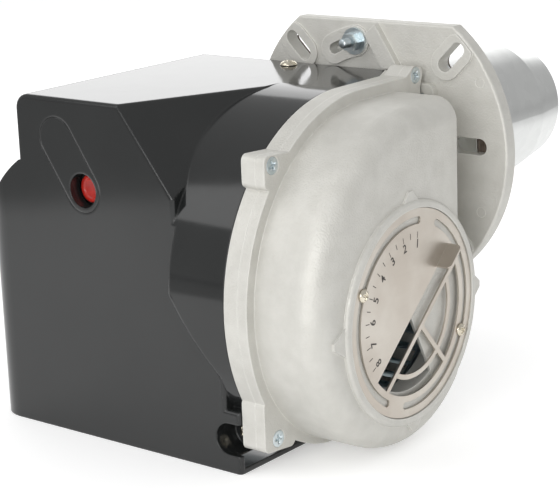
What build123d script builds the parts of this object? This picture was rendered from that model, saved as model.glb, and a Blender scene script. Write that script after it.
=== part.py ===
from build123d import *
import os
from math import cos, radians, sin

os.makedirs("parts", exist_ok=True)

# Light-oil burner for a small boiler, in millimetres.
# The origin is on the axis of the blast tube, at the boiler wall that the flange is bolted to.
# +Y points into the boiler, +X is the air inlet side, +Z is up.

# Blast tube
tube_r = 44.5
tube_wall = 1.2
tube_straight_end = 116.0
tube_tip_end = 147.0
tube_root_r = 44.0
tube_tip_r = 38.9
tip_roll = 3.0
collar_r = 69.0
collar_t = 2.0
stud_r = 3.0
stud_ring_r = 63.3
stud_angles = [101.5, 240.0]
stud_slot_angle = 16.0
stud_pad_w = 19.0
stud_reach = 15.5
nut_r = 5.8
nut_t = 6.0
washer_r = 8.3
washer_t = 1.8

# Flange and gasket
gasket_t = 3.0
gasket_inset = 4.0
flange_t = 9.0
flange_r = 94.0
flange_half_height = 74.8
flange_edge_r = 1.2
bolt_slot_mid_r = 80.0
bolt_slot_travel = 13.0
bolt_slot_w = 9.0
bolt_pad_w = 20.0
pad_t = 1.6
window_mid_r = 68.0
window_z = 4.0
window_travel = 14.0
window_w = 10.0
rib_points = [(-3.5, 67.0), (4.0, 73.5), (21.5, 47.0), (8.5, 47.0)]
rib_t = 5.0
spigot_depth = 4.5
flange_screw_r = 2.5
flange_screw_x = 38.0
flange_screw_z = 32.0
flange_screw_head_r = 4.0
flange_screw_head_t = 2.4
flange_screw_sink = 3.6
flange_front = -(gasket_t + flange_t)
flange_back = -gasket_t
tube_start_y = flange_back - collar_t - spigot_depth + 0.2

# Fan axis and the scroll that runs round it
fan_y = -95.3
fan_z = -75.8
scroll_y = -80.0
scroll_z = -63.5
scroll_r = 110.0
scroll_sweep = 117.0
scroll_bottom_y = -108.0
scroll_bottom_z = -155.5
scroll_rear_y = -18.8
scroll_rear_z = -78.0
scroll_top = scroll_z + scroll_r

# Castings round the fan
motor_wall_x = 10.0
casting_wall = 4.0
rim_x = 22.0
rim_w = 9.5
parting_x = rim_x + rim_w
rim_inset = 6.5
bore_inset = 10.0
lug_corner_r = 4.0
lug_plate_t = 6.5
lug_outlines = [
    [(-166.0, 20.0), (-166.0, 9.0), (-148.0, 19.0), (-150.0, 0.0)],
    [(-174.0, -117.0), (-174.0, -140.0), (-155.0, -142.0)],
    [(-24.5, 47.5), (-20.0, 46.5), (-36.0, 40.0), (-24.0, 36.0)],
    [(-37.0, -138.0), (-33.0, -134.0), (-60.0, -136.0), (-36.0, -112.0)],
]
lug_screws = [(-162.7, 18.0), (-166.0, -138.0), (-23.0, 46.0), (-38.5, -135.0)]
lug_screw_r = 2.5
lug_screw_l = 15.0
lug_head_r = 5.0
socket_r = 2.0
socket_depth = 1.6
thread_gap = 0.05
clearance = 0.3
neck_r = 41.5
neck_bore_r = 38.0
neck_front_y = -62.0
neck_side_x = 28.0
neck_end_wall = 4.0
neck_collar_half_x = 46.0
neck_collar_half_z = 40.0
neck_collar_t = 5.0
saddle_front_x = 22.0
saddle_front_y = -38.0
saddle_rear_x = 9.3

# Fan cover and air inlet
cover_face_x = 81.0
cover_edge_r = 14.0
cover_rear_y = -46.0
dome_wall = 3.5
dome_low_inset = 0.5
dome_sweep = 105.0
inlet_boss_r = 65.5
inlet_boss_x = 83.5
inlet_boss_edge = 2.0
inlet_r = 50.5
inlet_mouth_r = 46.0
inlet_mouth_x = 66.0
inlet_mouth_wall = 3.0
half_wall_x = 77.5
half_wall_t = 2.0
half_wall_angle = -62.5
ear_reaches = [71.0, 71.0, 75.5, 71.0]
ear_half_w = 11.0
ear_x = 75.0
ear_rise = 1.2

# Damper disc
damper_x = 81.4
damper_r = 60.5
damper_t = 1.2
damper_gap = 0.3
damper_slot_r = 53.6
damper_slot_w = 4.2
damper_slot_spans = [(83.2, 238.8), (259.2, 422.8)]
damper_cut_angle = 40.5
damper_grille_r = 47.7
damper_bar_offset = 11.0
damper_bar_w = 3.0
damper_arc_radii = [25.5, 36.7]
damper_screw_angle = 155.0
damper_screw_r = 1.8
damper_screw_l = 5.5
damper_head_r = 3.9
damper_head_t = 2.4
damper_head_gap = 0.1
tab_inner_r = 32.5
tab_outer_r = 49.0
tab_reach = 10.5
tab_corner_r = 3.0

# Fan wheel
fan_r = 60.0
fan_x = 18.0
fan_w = 44.0
fan_sheet = 1.2
blade_inner_r = 49.0
blade_t = 1.0
blade_hook = 6.0
blade_count = 32
fan_hub_r = 11.0
fan_hub_l = 24.0

# Motor
shaft_r = 4.0
running_gap = 0.05
motor_r = 44.0
motor_sheet = 2.0
shield_t = 7.0
motor_rear_x = -60.0
rear_shield_t = 6.0
stator_x = -50.0
stator_l = 40.0
winding_outer_r = 39.0
winding_inner_r = 29.0
winding_l = 7.0
rotor_r = 25.0
rotor_l = 36.0
air_gap = 0.5
bearing_r = 11.0
bearing_w = 5.0
shaft_hole_r = 6.0
motor_bolt_ring = 32.0
motor_bolt_r = 2.5
motor_bolt_head_r = 4.2
motor_bolt_head_t = 3.0
motor_shaft_rear_x = -78.0
motor_shaft_front_x = 43.0
pump_collar_r = 20.0
pump_collar_l = 16.0
capacitor_r = 15.0
capacitor_l = 58.0
capacitor_x = -62.0
capacitor_y = -34.0
capacitor_z = -98.0
clip_t = 1.5
clip_w = 14.0

# Pump
coupling_r = 9.0
coupling_x = -92.0
coupling_l = 20.0
pump_hub_r = 16.0
pump_hub_bore_r = 10.0
pump_hub_l = 20.0
pump_x = -96.0
pump_l = 34.0
pump_half = 30.0
pump_lid_t = 9.0
pump_lid_half = 26.0
pump_shaft_x = -101.0
pump_shaft_l = 21.0
lid_screw_place = 20.0
coil_z = -60.0
coil_w = 32.0
coil_l = 26.0
stem_r = 5.5
stem_l = 32.0
nipple_z = -90.0
nipple_r = 5.0
nipple_l = 24.0
nipple_xs = [-105.0, -121.0]
pipe_r = 2.2
pipe_bend_r = 8.0
pipe_x = -113.0
pipe_y = -83.0
pipe_z = -27.5

# Parts inside the tube
line_r = 6.0
line_block_w = 18.0
line_block_y = -90.0
line_block_l = 20.0
line_end_y = 74.0
line_nut_r = 10.0
line_nut_t = 4.0
holder_r = 10.0
holder_end_y = 104.0
nozzle_hex_r = 8.0
nozzle_hex_l = 6.0
nozzle_neck_r = 6.5
nozzle_tip_r = 3.0
nozzle_tip_l = 8.0
electrode_r = 3.5
electrode_x = 11.0
electrode_z = 14.5
electrode_y = 52.0
electrode_l = 56.0
wire_r = 0.9
wire_points = [(11.0, 108.0, 14.5), (11.0, 114.0, 14.5), (2.5, 121.0, 7.0)]
clamp_y = 84.0
clamp_t = 8.0
clamp_arm_r = 23.0
clamp_arm_w = 8.0
leg_angles = [210.0, 270.0, 330.0]
leg_r = 20.0
leg_w = 6.0
diffuser_y = 124.0
diffuser_r = 36.0
diffuser_hole_r = 12.0
diffuser_t = 1.2
diffuser_slots = 12
diffuser_slot_r = 24.0
diffuser_slot_l = 14.0
diffuser_slot_w = 2.2
lead_r = 2.6
lead_wall_x = -19.0
lead_wall_z = 14.5

# Front cover
cover_wall = 3.0
cover_front_y = -180.0
cover_top = 46.0
cover_floor = -159.0
cover_left_x = -141.0
cover_side_x = 21.5
cover_back_y = -16.0
cover_corner_r = 9.0
cover_soft_r = 2.5
box_right_x = -20.0
bulge_left_x = -178.0
bulge_shoulder_z = -62.0
bulge_top_z = 6.0
bulge_corner_r = 22.0
bulge_foot_r = 10.0
wrap_hidden_x = -46.0
wrap_back_l = 45.0
wrap_back_h = 100.0
ledge_top_z = -57.0
ledge_low_x = 11.5
ledge_low_z = -104.5
pocket_top_z = -122.0
rear_corner_l = 44.0
cover_gap = 0.5
facet_corners = [(-57.0, -180.0, 43.0), (-23.0, -180.0, -1.0), (-32.0, -120.0, 46.0)]

# Insert and reset button
insert_r = 13.0
insert_lip = 2.5
insert_lip_t = 1.2
insert_top_x = -108.4
insert_top_z = 21.5
button_x = -89.3
button_z = -7.2
insert_gap = 0.25
button_hole_r = 10.3
button_r = 8.6
button_front_y = -173.0
button_head_t = 3.2
button_travel = 3.0
button_stem_r = 4.0
button_stem_l = 24.0
button_guide_gap = 0.08
spring_r = 6.0
spring_wire = 0.5
spring_turns = 4
spring_well_r = 7.5
spring_well_depth = 8.0
well_depth = 5.5
well_wall = 1.3

# Cover screws
screw_hole_gap = 0.4
side_screw_x = 13.5
side_screw_z = -139.0
pocket_r = 9.5
pocket_depth = 17.0
top_screw_x = -54.5
top_screw_y = -27.0
screw_shank_r = 2.4
screw_head_r = 5.4
screw_head_t = 3.2
cover_screw_l = 12.0

# Electrical parts
plate_z = -22.0
plate_t = 2.0
plate_left_x = -134.0
plate_front_y = -160.0
plate_back_y = -65.0
plate_notch_x = -45.0
plate_notch_y = -96.0
plate_tab_top = 13.0
plate_tab_front_y = -150.0
plate_tab_y = [-141.0, -105.0]
plate_tab_z = 2.0
plate_screw_r = 2.0
box_w = 80.0
box_front_y = -166.0
box_back_y = -126.0
box_h = 58.0
base_back_y = -112.0
base_h = 50.0
transformer_x = -128.0
transformer_w = 62.0
transformer_y = -107.0
transformer_d = 38.0
transformer_h = 50.0
transformer_boss_r = 5.0
transformer_boss_l = 6.0
lead_starts = [(-95.0, 14.0), (-80.0, 2.0)]
photocell_y = -32.0
photocell_z = 15.0
photocell_r = 7.5
photocell_x = -27.0
photocell_l = 24.0
photocell_cap_r = 9.0
photocell_cap_l = 10.0
inlet_w = 34.0
inlet_d = 13.0
inlet_h = 21.0
inlet_x = -111.0
inlet_pin_r = 1.5


# Slanting facet at the upper right corner of the cover, facing outwards
facet_normal = (Vector(*facet_corners[1]) - Vector(*facet_corners[0])).cross(
    Vector(*facet_corners[2]) - Vector(*facet_corners[0])
)
facet_plane = Plane(origin=facet_corners[0], z_dir=facet_normal)


stud_places = [(stud_ring_r * cos(radians(a)), stud_ring_r * sin(radians(a))) for a in stud_angles]


def at_x(x):
    """Plane of constant X, drawn in (Y, Z), facing +X."""
    return Plane.YZ.offset(x)


def at_y(y):
    """Plane of constant Y, drawn in (X, Z), facing -Y."""
    return Plane.XZ.offset(-y)


def polar(radius, angle):
    """Point at a radius and an angle in degrees, from the centre of a sketch."""
    return (radius * cos(radians(angle)), radius * sin(radians(angle)))


def about_fan(radius, angle):
    """Point (Y, Z) at a radius and an angle round the fan axis."""
    dy, dz = polar(radius, angle)
    return (fan_y + dy, fan_z + dz)


def finish(part, name):
    """Labels a finished piece and writes its STEP file."""
    part.label = name
    export_step(part, f"parts/{name}.step")


def scroll_face(inset):
    """Scroll outline of the fan casing, drawn in by inset, on a plane of constant X."""
    with BuildLine() as outline:
        front = CenterArc((scroll_y, scroll_z), scroll_r, 90, scroll_sweep)
        low = TangentArc(front @ 1, (scroll_bottom_y, scroll_bottom_z), tangent=front % 1)
        rear = TangentArc(low @ 1, (scroll_rear_y, scroll_rear_z), tangent=low % 1)
        Polyline(rear @ 1, (scroll_rear_y, scroll_top), front @ 0)
    with BuildSketch(mode=Mode.PRIVATE) as face:
        make_face(outline.edges())
        if inset:
            offset(amount=-inset, mode=Mode.REPLACE)
    add(face.sketch)


def lug_faces():
    """Lugs that stand out from the scroll outline, one round each cover screw."""
    for corners in lug_outlines:
        with BuildSketch(mode=Mode.PRIVATE) as lug:
            with Locations(*corners):
                Circle(lug_corner_r)
            make_hull()
        add(lug.sketch)


def saddle_face(grow):
    """Plan (X, Y) of the block that joins the casing rim to the flange."""
    with BuildLine() as outline:
        Polyline(
            (saddle_front_x - grow, saddle_front_y - grow),
            (saddle_rear_x - grow, flange_front),
            (parting_x, flange_front),
            (parting_x, saddle_front_y - grow),
            close=True,
        )
    make_face(outline.edges())


# Fan housing: the body casting, with the scroll floor that carries the motor, the rim for the
# fan cover, and the round neck that leads the air back to the flange.
with BuildPart() as fan_housing:
    with BuildSketch(at_x(rim_x)):
        scroll_face(0)
        lug_faces()
    extrude(amount=rim_w)
    with BuildSketch(at_x(motor_wall_x)):
        scroll_face(rim_inset)
    extrude(amount=rim_x - motor_wall_x)
    with BuildSketch(at_y(flange_front)):
        Circle(neck_r)
        with Locations((parting_x + neck_r / 2, 0)):
            Rectangle(neck_r, 2 * neck_r, mode=Mode.SUBTRACT)
    extrude(amount=flange_front - neck_front_y)
    with BuildSketch(at_y(flange_front)):
        RectangleRounded(2 * neck_collar_half_x, 2 * neck_collar_half_z, neck_collar_t)
    extrude(amount=neck_collar_t)
    with BuildSketch(Plane.XY.offset(neck_bore_r / 2)):
        saddle_face(0)
    extrude(amount=scroll_top - neck_bore_r / 2)
    # Bosses for the two cover screws
    with BuildSketch(at_y(cover_front_y + pocket_depth + cover_wall + 0.3)):
        with Locations((side_screw_x, side_screw_z)):
            Circle(screw_head_r + 0.4)
    extrude(amount=-18)
    with BuildSketch(Plane.XY.offset(cover_top - cover_wall - 0.3)):
        with Locations((top_screw_x, top_screw_y)):
            Circle(screw_head_r + 1)
        with Locations((top_screw_x / 2, top_screw_y)):
            Rectangle(abs(top_screw_x), 2 * screw_head_r)
    extrude(amount=-11)
    with BuildSketch(at_x(motor_wall_x + casting_wall)):
        scroll_face(bore_inset)
    extrude(amount=parting_x - motor_wall_x, mode=Mode.SUBTRACT)
    with BuildSketch(at_y(flange_front)):
        Circle(neck_bore_r)
        with Locations((neck_side_x + neck_bore_r / 2, 0)):
            Rectangle(neck_bore_r, 2 * neck_bore_r, mode=Mode.SUBTRACT)
    extrude(amount=flange_front - neck_front_y - neck_end_wall, mode=Mode.SUBTRACT)
    # Bores: shaft, motor bolts, lug screws, cover screws, nozzle line, leads, photocell
    with BuildSketch(at_x(motor_wall_x)):
        with Locations((fan_y, fan_z)):
            Circle(fan_hub_r + 3)
            with PolarLocations(motor_bolt_ring, 4, 45):
                Circle(motor_bolt_r + clearance)
        with Locations(*[(y, plate_tab_z) for y in plate_tab_y]):
            Circle(plate_screw_r + thread_gap)
    extrude(amount=casting_wall, mode=Mode.SUBTRACT)
    with BuildSketch(at_x(rim_x)):
        with Locations(*lug_screws):
            Circle(lug_screw_r + thread_gap)
    extrude(amount=rim_w, mode=Mode.SUBTRACT)
    with BuildSketch(at_y(cover_front_y + pocket_depth + cover_wall)):
        with Locations((side_screw_x, side_screw_z)):
            Circle(screw_shank_r)
    extrude(amount=-14, mode=Mode.SUBTRACT)
    with BuildSketch(Plane.XY.offset(cover_top - cover_wall)):
        with Locations((top_screw_x, top_screw_y)):
            Circle(screw_shank_r)
    extrude(amount=-9, mode=Mode.SUBTRACT)
    with BuildSketch(at_y(neck_front_y + neck_end_wall)):
        Circle(line_r + 0.1)
        with Locations((lead_wall_x, lead_wall_z), (lead_wall_x, -lead_wall_z)):
            Circle(lead_r + 0.4)
    extrude(amount=neck_end_wall, mode=Mode.SUBTRACT)
    with BuildSketch(at_x(-neck_r)):
        with Locations((photocell_y, photocell_z)):
            Circle(photocell_r + 0.1)
    extrude(amount=neck_r / 2, mode=Mode.SUBTRACT)
    with BuildSketch(at_y(flange_front)):
        with GridLocations(2 * flange_screw_x, 2 * flange_screw_z, 2, 2):
            Circle(flange_screw_r)
    extrude(amount=neck_collar_t, mode=Mode.SUBTRACT)
finish(fan_housing.part, "fan_housing")


def dome_face(inset, rear_y):
    """Outline of the dome: inside the rim in front, out to the rim below, square at the rear."""
    with BuildLine() as outline:
        front = CenterArc((scroll_y, scroll_z), scroll_r - rim_inset - inset, 90, dome_sweep)
        bottom = (scroll_bottom_y, scroll_bottom_z + dome_low_inset + inset)
        low = TangentArc(front @ 1, bottom, tangent=front % 1)
        rear = TangentArc(low @ 1, (scroll_rear_y - inset, scroll_rear_z), tangent=low % 1)
        top = (scroll_rear_y - inset, scroll_top - rim_inset - inset)
        Polyline(rear @ 1, top, front @ 0)
    make_face(outline.edges())
    with Locations((rear_y, scroll_z)):
        Rectangle(scroll_r, 4 * scroll_r, align=(Align.MIN, Align.CENTER), mode=Mode.SUBTRACT)


# Fan cover: the domed half of the scroll, with the air inlet boss on its face.
with BuildPart() as scroll_bore:
    with BuildSketch(at_x(parting_x)):
        dome_face(dome_wall, cover_rear_y - dome_wall)
    extrude(amount=cover_face_x - casting_wall - parting_x)
    fillet(scroll_bore.faces().sort_by(Axis.X)[-1].edges(), radius=cover_edge_r - dome_wall)
    with BuildSketch(at_x(parting_x)):
        with Locations((fan_y, fan_z)):
            Circle(inlet_boss_r - casting_wall)
    extrude(amount=cover_face_x - casting_wall - parting_x)

with BuildPart() as fan_cover:
    with BuildSketch(at_x(parting_x + lug_plate_t)):
        dome_face(0, cover_rear_y + 1.1 * cover_edge_r)
    extrude(amount=cover_face_x - parting_x - lug_plate_t)
    fillet(fan_cover.faces().sort_by(Axis.X)[-1].edges(), radius=cover_edge_r)
    with BuildSketch(at_x(parting_x + lug_plate_t)):
        with Locations((cover_rear_y, scroll_z)):
            Rectangle(scroll_r, 4 * scroll_r, align=(Align.MIN, Align.CENTER))
    extrude(amount=cover_face_x, mode=Mode.SUBTRACT)
    with BuildSketch(at_x(parting_x)):
        scroll_face(0)
        lug_faces()
    extrude(amount=lug_plate_t)
    with BuildSketch(at_x(parting_x)):
        with Locations((fan_y, fan_z)):
            Circle(inlet_boss_r)
    extrude(amount=inlet_boss_x - parting_x)
    boss_rim = fan_cover.faces().sort_by(Axis.X)[-1].edges()
    fillet(boss_rim, radius=inlet_boss_edge)
    with BuildSketch(at_x(ear_x)):
        with Locations((fan_y, fan_z)):
            for count, reach in enumerate(ear_reaches):
                with Locations(Rotation(0, 0, 90 * count)):
                    Polygon(
                        (inlet_boss_r - 5, -ear_half_w),
                        (reach, -ear_half_w / 6),
                        (reach, ear_half_w / 6),
                        (inlet_boss_r - 5, ear_half_w),
                        align=None,
                    )
    extrude(amount=cover_face_x + ear_rise - ear_x)
    add(scroll_bore.part, mode=Mode.SUBTRACT)
    # Seat for the disc, inlet opening, and the fixed half wall behind the disc
    with BuildSketch(at_x(damper_x - damper_gap)):
        with Locations((fan_y, fan_z)):
            Circle(damper_r + damper_gap)
    extrude(amount=inlet_boss_x - damper_x + damper_gap, mode=Mode.SUBTRACT)
    with BuildSketch(at_x(inlet_mouth_x)):
        with Locations((fan_y, fan_z)):
            Circle(inlet_r)
    extrude(amount=inlet_boss_x - inlet_mouth_x, mode=Mode.SUBTRACT)
    with BuildSketch(at_x(half_wall_x)):
        with Locations((fan_y, fan_z)):
            Circle(inlet_r)
            with Locations(Rotation(0, 0, half_wall_angle)):
                with Locations((0, -inlet_r)):
                    Rectangle(2 * inlet_r, 2 * inlet_r, mode=Mode.SUBTRACT)
    extrude(amount=half_wall_t)
    with BuildSketch(at_x(inlet_mouth_x)):
        with Locations((fan_y, fan_z)):
            Circle(inlet_mouth_r + inlet_mouth_wall)
            Circle(inlet_mouth_r, mode=Mode.SUBTRACT)
    extrude(amount=cover_face_x - casting_wall - inlet_mouth_x)
    with BuildSketch(at_x(cover_face_x - casting_wall)):
        with Locations((fan_y, fan_z)):
            Circle(inlet_r + 1)
            Circle(inlet_mouth_r, mode=Mode.SUBTRACT)
            with Locations(Rotation(0, 0, half_wall_angle)):
                with Locations((0, inlet_r)):
                    Rectangle(3 * inlet_r, 2 * inlet_r, mode=Mode.SUBTRACT)
    extrude(amount=half_wall_t)
    with BuildSketch(at_x(parting_x)):
        with Locations(*lug_screws):
            Circle(lug_screw_r + clearance)
    extrude(amount=lug_plate_t, mode=Mode.SUBTRACT)
    for place in lug_screws:
        with Locations(at_x(parting_x + lug_plate_t) * Pos(*place, 0)):
            CounterSinkHole(lug_screw_r + clearance, lug_head_r + clearance, depth=lug_plate_t)
    with BuildSketch(at_x(damper_x)):
        for angle in (damper_screw_angle, damper_screw_angle + 180):
            with Locations(about_fan(damper_slot_r, angle)):
                Circle(damper_screw_r + thread_gap)
    extrude(amount=-casting_wall - 1, mode=Mode.SUBTRACT)
finish(fan_cover.part, "fan_cover")


# Fan cover screws: four alike, countersunk, driven along the fan axis into the rim.
with BuildPart() as fan_cover_screws:
    for place in lug_screws:
        with BuildSketch(at_x(parting_x + lug_plate_t)):
            with Locations(place):
                Circle(lug_head_r)
        with BuildSketch(at_x(parting_x + lug_plate_t - lug_head_r + lug_screw_r)):
            with Locations(place):
                Circle(lug_screw_r)
        loft()
        with BuildSketch(at_x(parting_x + lug_plate_t - lug_head_r + lug_screw_r)):
            with Locations(place):
                Circle(lug_screw_r)
        extrude(amount=-(lug_screw_l - lug_head_r + lug_screw_r))
        with BuildSketch(at_x(parting_x + lug_plate_t - socket_depth)):
            with Locations(place):
                RegularPolygon(socket_r, 6)
        extrude(amount=socket_depth, mode=Mode.SUBTRACT)
finish(fan_cover_screws.part, "fan_cover_screws")


def damper_arc(radius, start, end, width):
    """Curved slot round the fan axis, its rounded ends centred at the two angles."""
    with BuildLine() as path:
        CenterArc((fan_y, fan_z), radius, start, end - start)
    with BuildSketch(mode=Mode.PRIVATE) as slot:
        SlotArc(path.edges()[0], width)
    return slot.sketch


def below_cut(distance, width):
    """Band of the disc, of a given width, that begins at a distance past its straight cut."""
    with BuildSketch(mode=Mode.PRIVATE) as band:
        with Locations((fan_y, fan_z)):
            with Locations(Rotation(0, 0, damper_cut_angle)):
                with Locations((0, -distance - width / 2)):
                    Rectangle(3 * damper_r, width)
    return band.sketch


# Damper disc: sheet disc that turns on the inlet boss and closes more or less of the inlet.
with BuildPart() as damper_disc:
    with BuildSketch(at_x(damper_x)):
        with Locations((fan_y, fan_z)):
            Circle(damper_r)
        for start, end in damper_slot_spans:
            add(damper_arc(damper_slot_r, start, end, damper_slot_w), mode=Mode.SUBTRACT)
        with BuildSketch(mode=Mode.PRIVATE) as opening:
            with Locations((fan_y, fan_z)):
                Circle(damper_grille_r)
            add(below_cut(0, 2 * damper_r), mode=Mode.INTERSECT)
            add(below_cut(damper_bar_offset, damper_bar_w), mode=Mode.SUBTRACT)
        add(opening.sketch, mode=Mode.SUBTRACT)
        with BuildSketch(mode=Mode.PRIVATE) as grille:
            for radius in damper_arc_radii:
                with Locations((fan_y, fan_z)):
                    Circle(radius + damper_bar_w / 2)
                    Circle(radius - damper_bar_w / 2, mode=Mode.SUBTRACT)
            with Locations((fan_y, fan_z)):
                with Locations(Rotation(0, 0, damper_cut_angle)):
                    with Locations((0, -damper_grille_r / 2)):
                        Rectangle(damper_bar_w, damper_grille_r)
            add(below_cut(damper_bar_offset, 2 * damper_r), mode=Mode.INTERSECT)
            with Locations((fan_y, fan_z)):
                Circle(damper_grille_r + 1, mode=Mode.INTERSECT)
        add(grille.sketch)
    extrude(amount=damper_t)
    with BuildSketch(at_x(damper_x)):
        with Locations((fan_y, fan_z)):
            with Locations(Rotation(0, 0, damper_cut_angle)):
                with Locations(((tab_inner_r + tab_outer_r) / 2, damper_t / 2)):
                    Rectangle(tab_outer_r - tab_inner_r, damper_t)
    extrude(amount=tab_reach)
    tab_corners = damper_disc.edges().filter_by(
        lambda e: e.center().X > damper_x + tab_reach - 0.1 and e.length < 2 * damper_t
    )
    fillet(tab_corners, radius=tab_corner_r)
finish(damper_disc.part, "damper_disc")


# Damper screws: two alike, through the slots of the disc into the boss.
with BuildPart() as damper_screws:
    for angle in (damper_screw_angle, damper_screw_angle + 180):
        with BuildSketch(at_x(damper_x + damper_t + damper_head_gap)):
            with Locations(about_fan(damper_slot_r, angle)):
                Circle(damper_head_r)
        extrude(amount=damper_head_t)
        with BuildSketch(at_x(damper_x + damper_t + damper_head_gap)):
            with Locations(about_fan(damper_slot_r, angle)):
                Circle(damper_screw_r)
        extrude(amount=-damper_screw_l)
    head_edges = damper_screws.faces().filter_by(Axis.X).sort_by(Axis.X)[-2:].edges()
    fillet(head_edges, radius=damper_head_t / 2)
    for angle in (damper_screw_angle, damper_screw_angle + 180):
        with BuildSketch(at_x(damper_x + damper_t + damper_head_t / 2)):
            with Locations(about_fan(damper_slot_r, angle)):
                Rectangle(damper_head_r, damper_head_r / 5)
                Rectangle(damper_head_r / 5, damper_head_r)
        extrude(amount=damper_head_t, mode=Mode.SUBTRACT)
finish(damper_screws.part, "damper_screws")


def flange_outline(inset):
    """Disc of the flange with a flat at top and bottom."""
    Circle(flange_r - inset)
    Rectangle(3 * flange_r, 2 * (flange_half_height - inset), mode=Mode.INTERSECT)


def stud_slot(width):
    """Curved slots for the two studs."""
    for angle in stud_angles:
        with BuildLine() as path:
            CenterArc((0, 0), stud_ring_r, angle, stud_slot_angle)
        with BuildSketch(mode=Mode.PRIVATE) as slot:
            SlotArc(path.edges()[0], width)
        add(slot.sketch)


def bolt_slots(travel, width, mode=Mode.ADD):
    """Four radial slots at 45 degrees for the bolts of the boiler door."""
    with PolarLocations(bolt_slot_mid_r, 4, 45):
        SlotCenterToCenter(travel, width, mode=mode)


# Flange: flat casting with slots for the boiler studs, bolted to the rear of the fan housing.
with BuildPart() as flange:
    with BuildSketch(at_y(flange_back)):
        flange_outline(0)
    extrude(amount=flange_t)
    fillet(flange.faces().sort_by(Axis.Y)[0].edges(), radius=flange_edge_r)
    with BuildSketch(at_y(flange_front)):
        bolt_slots(bolt_slot_travel - 1.5, bolt_pad_w)
        stud_slot(stud_pad_w)
        Rectangle(3 * flange_r, 2 * (flange_half_height - flange_edge_r), mode=Mode.INTERSECT)
        Circle(flange_r - flange_edge_r, mode=Mode.INTERSECT)
    extrude(amount=pad_t)
    with BuildSketch(at_y(flange_front)):
        Polygon(*rib_points, align=None)
    extrude(amount=rib_t)
    with BuildSketch(at_y(flange_back)):
        bolt_slots(bolt_slot_travel, bolt_slot_w)
        stud_slot(2 * stud_r + 2 * clearance)
        for side in (-1, 1):
            with Locations((side * window_mid_r, window_z)):
                SlotCenterToCenter(window_travel, window_w)
        Circle(neck_bore_r)
        with GridLocations(2 * flange_screw_x, 2 * flange_screw_z, 2, 2):
            Circle(flange_screw_r + clearance)
    extrude(amount=flange_t + pad_t, mode=Mode.SUBTRACT)
    with BuildSketch(at_y(flange_back)):
        with GridLocations(2 * flange_screw_x, 2 * flange_screw_z, 2, 2):
            Circle(flange_screw_head_r + clearance)
    extrude(amount=flange_t - flange_screw_sink, mode=Mode.SUBTRACT)
    with BuildSketch(at_y(flange_back)):
        Circle(collar_r + clearance)
    extrude(amount=collar_t, mode=Mode.SUBTRACT)
    with BuildSketch(at_y(flange_back)):
        Circle(tube_r + clearance)
    extrude(amount=collar_t + spigot_depth, mode=Mode.SUBTRACT)
finish(flange.part, "flange")


# Gasket between the flange and the boiler.
with BuildPart() as flange_gasket:
    with BuildSketch(at_y(0)):
        flange_outline(gasket_inset)
        bolt_slots(bolt_slot_travel, bolt_slot_w + 2, Mode.SUBTRACT)
        Circle(tube_r + 5 * clearance, mode=Mode.SUBTRACT)
    extrude(amount=gasket_t)
finish(flange_gasket.part, "flange_gasket")


# Flange screws: four alike, from the boiler side into the collar of the fan housing.
with BuildPart() as flange_screws:
    with BuildSketch(at_y(flange_front + flange_screw_sink)):
        with GridLocations(2 * flange_screw_x, 2 * flange_screw_z, 2, 2):
            Circle(flange_screw_r - thread_gap)
    extrude(amount=flange_screw_sink + neck_collar_t)
    with BuildSketch(at_y(flange_front + flange_screw_sink)):
        with GridLocations(2 * flange_screw_x, 2 * flange_screw_z, 2, 2):
            Circle(flange_screw_head_r)
            Circle(socket_r, mode=Mode.SUBTRACT)
    extrude(amount=-flange_screw_head_t)
finish(flange_screws.part, "flange_screws")


# Blast tube: steel sleeve with a drawn-in tip, and the collar plate it is welded to.
with BuildPart() as blast_tube:
    with BuildSketch(Plane.XY):
        Polygon(
            (tube_r - tube_wall, tube_start_y),
            (tube_root_r, tube_start_y),
            (tube_root_r, 0),
            (tube_r, 0),
            (tube_r, tube_straight_end),
            (tube_tip_r + tip_roll / 3, tube_tip_end - tip_roll),
            (tube_tip_r - tip_roll / 4, tube_tip_end - tip_roll / 4),
            (tube_tip_r - tip_roll, tube_tip_end),
            (tube_tip_r - tip_roll, tube_tip_end - tube_wall),
            (tube_tip_r - tube_wall, tube_tip_end - tip_roll),
            (tube_r - tube_wall, tube_straight_end),
            align=None,
        )
    revolve(axis=Axis.Y)
    with BuildSketch(at_y(flange_back)):
        Circle(collar_r)
        Circle(tube_r - tube_wall / 2, mode=Mode.SUBTRACT)
        with Locations(*stud_places):
            Circle(stud_r + thread_gap, mode=Mode.SUBTRACT)
    extrude(amount=collar_t)
finish(blast_tube.part, "blast_tube")


# Studs: two alike, fixed in the collar plate, that come out through the curved slots.
with BuildPart() as tube_studs:
    with BuildSketch(at_y(flange_back)):
        with Locations(*stud_places):
            Circle(stud_r)
    extrude(amount=flange_t + stud_reach)
    chamfer(tube_studs.faces().sort_by(Axis.Y)[:2].edges(), length=stud_r / 5)
finish(tube_studs.part, "tube_studs")


# Nuts with a washer face: two alike, that clamp the collar plate to the flange.
with BuildPart() as stud_nuts:
    with BuildSketch(at_y(flange_front - pad_t)):
        with Locations(*stud_places):
            Circle(washer_r)
    extrude(amount=washer_t)
    with BuildSketch(at_y(flange_front - pad_t)):
        with Locations(*stud_places):
            RegularPolygon(nut_r, 6)
    extrude(amount=washer_t + nut_t)
    with BuildSketch(at_y(flange_front - pad_t)):
        with Locations(*stud_places):
            Circle(stud_r + thread_gap)
    extrude(amount=washer_t + nut_t, mode=Mode.SUBTRACT)
finish(stud_nuts.part, "stud_nuts")


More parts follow.
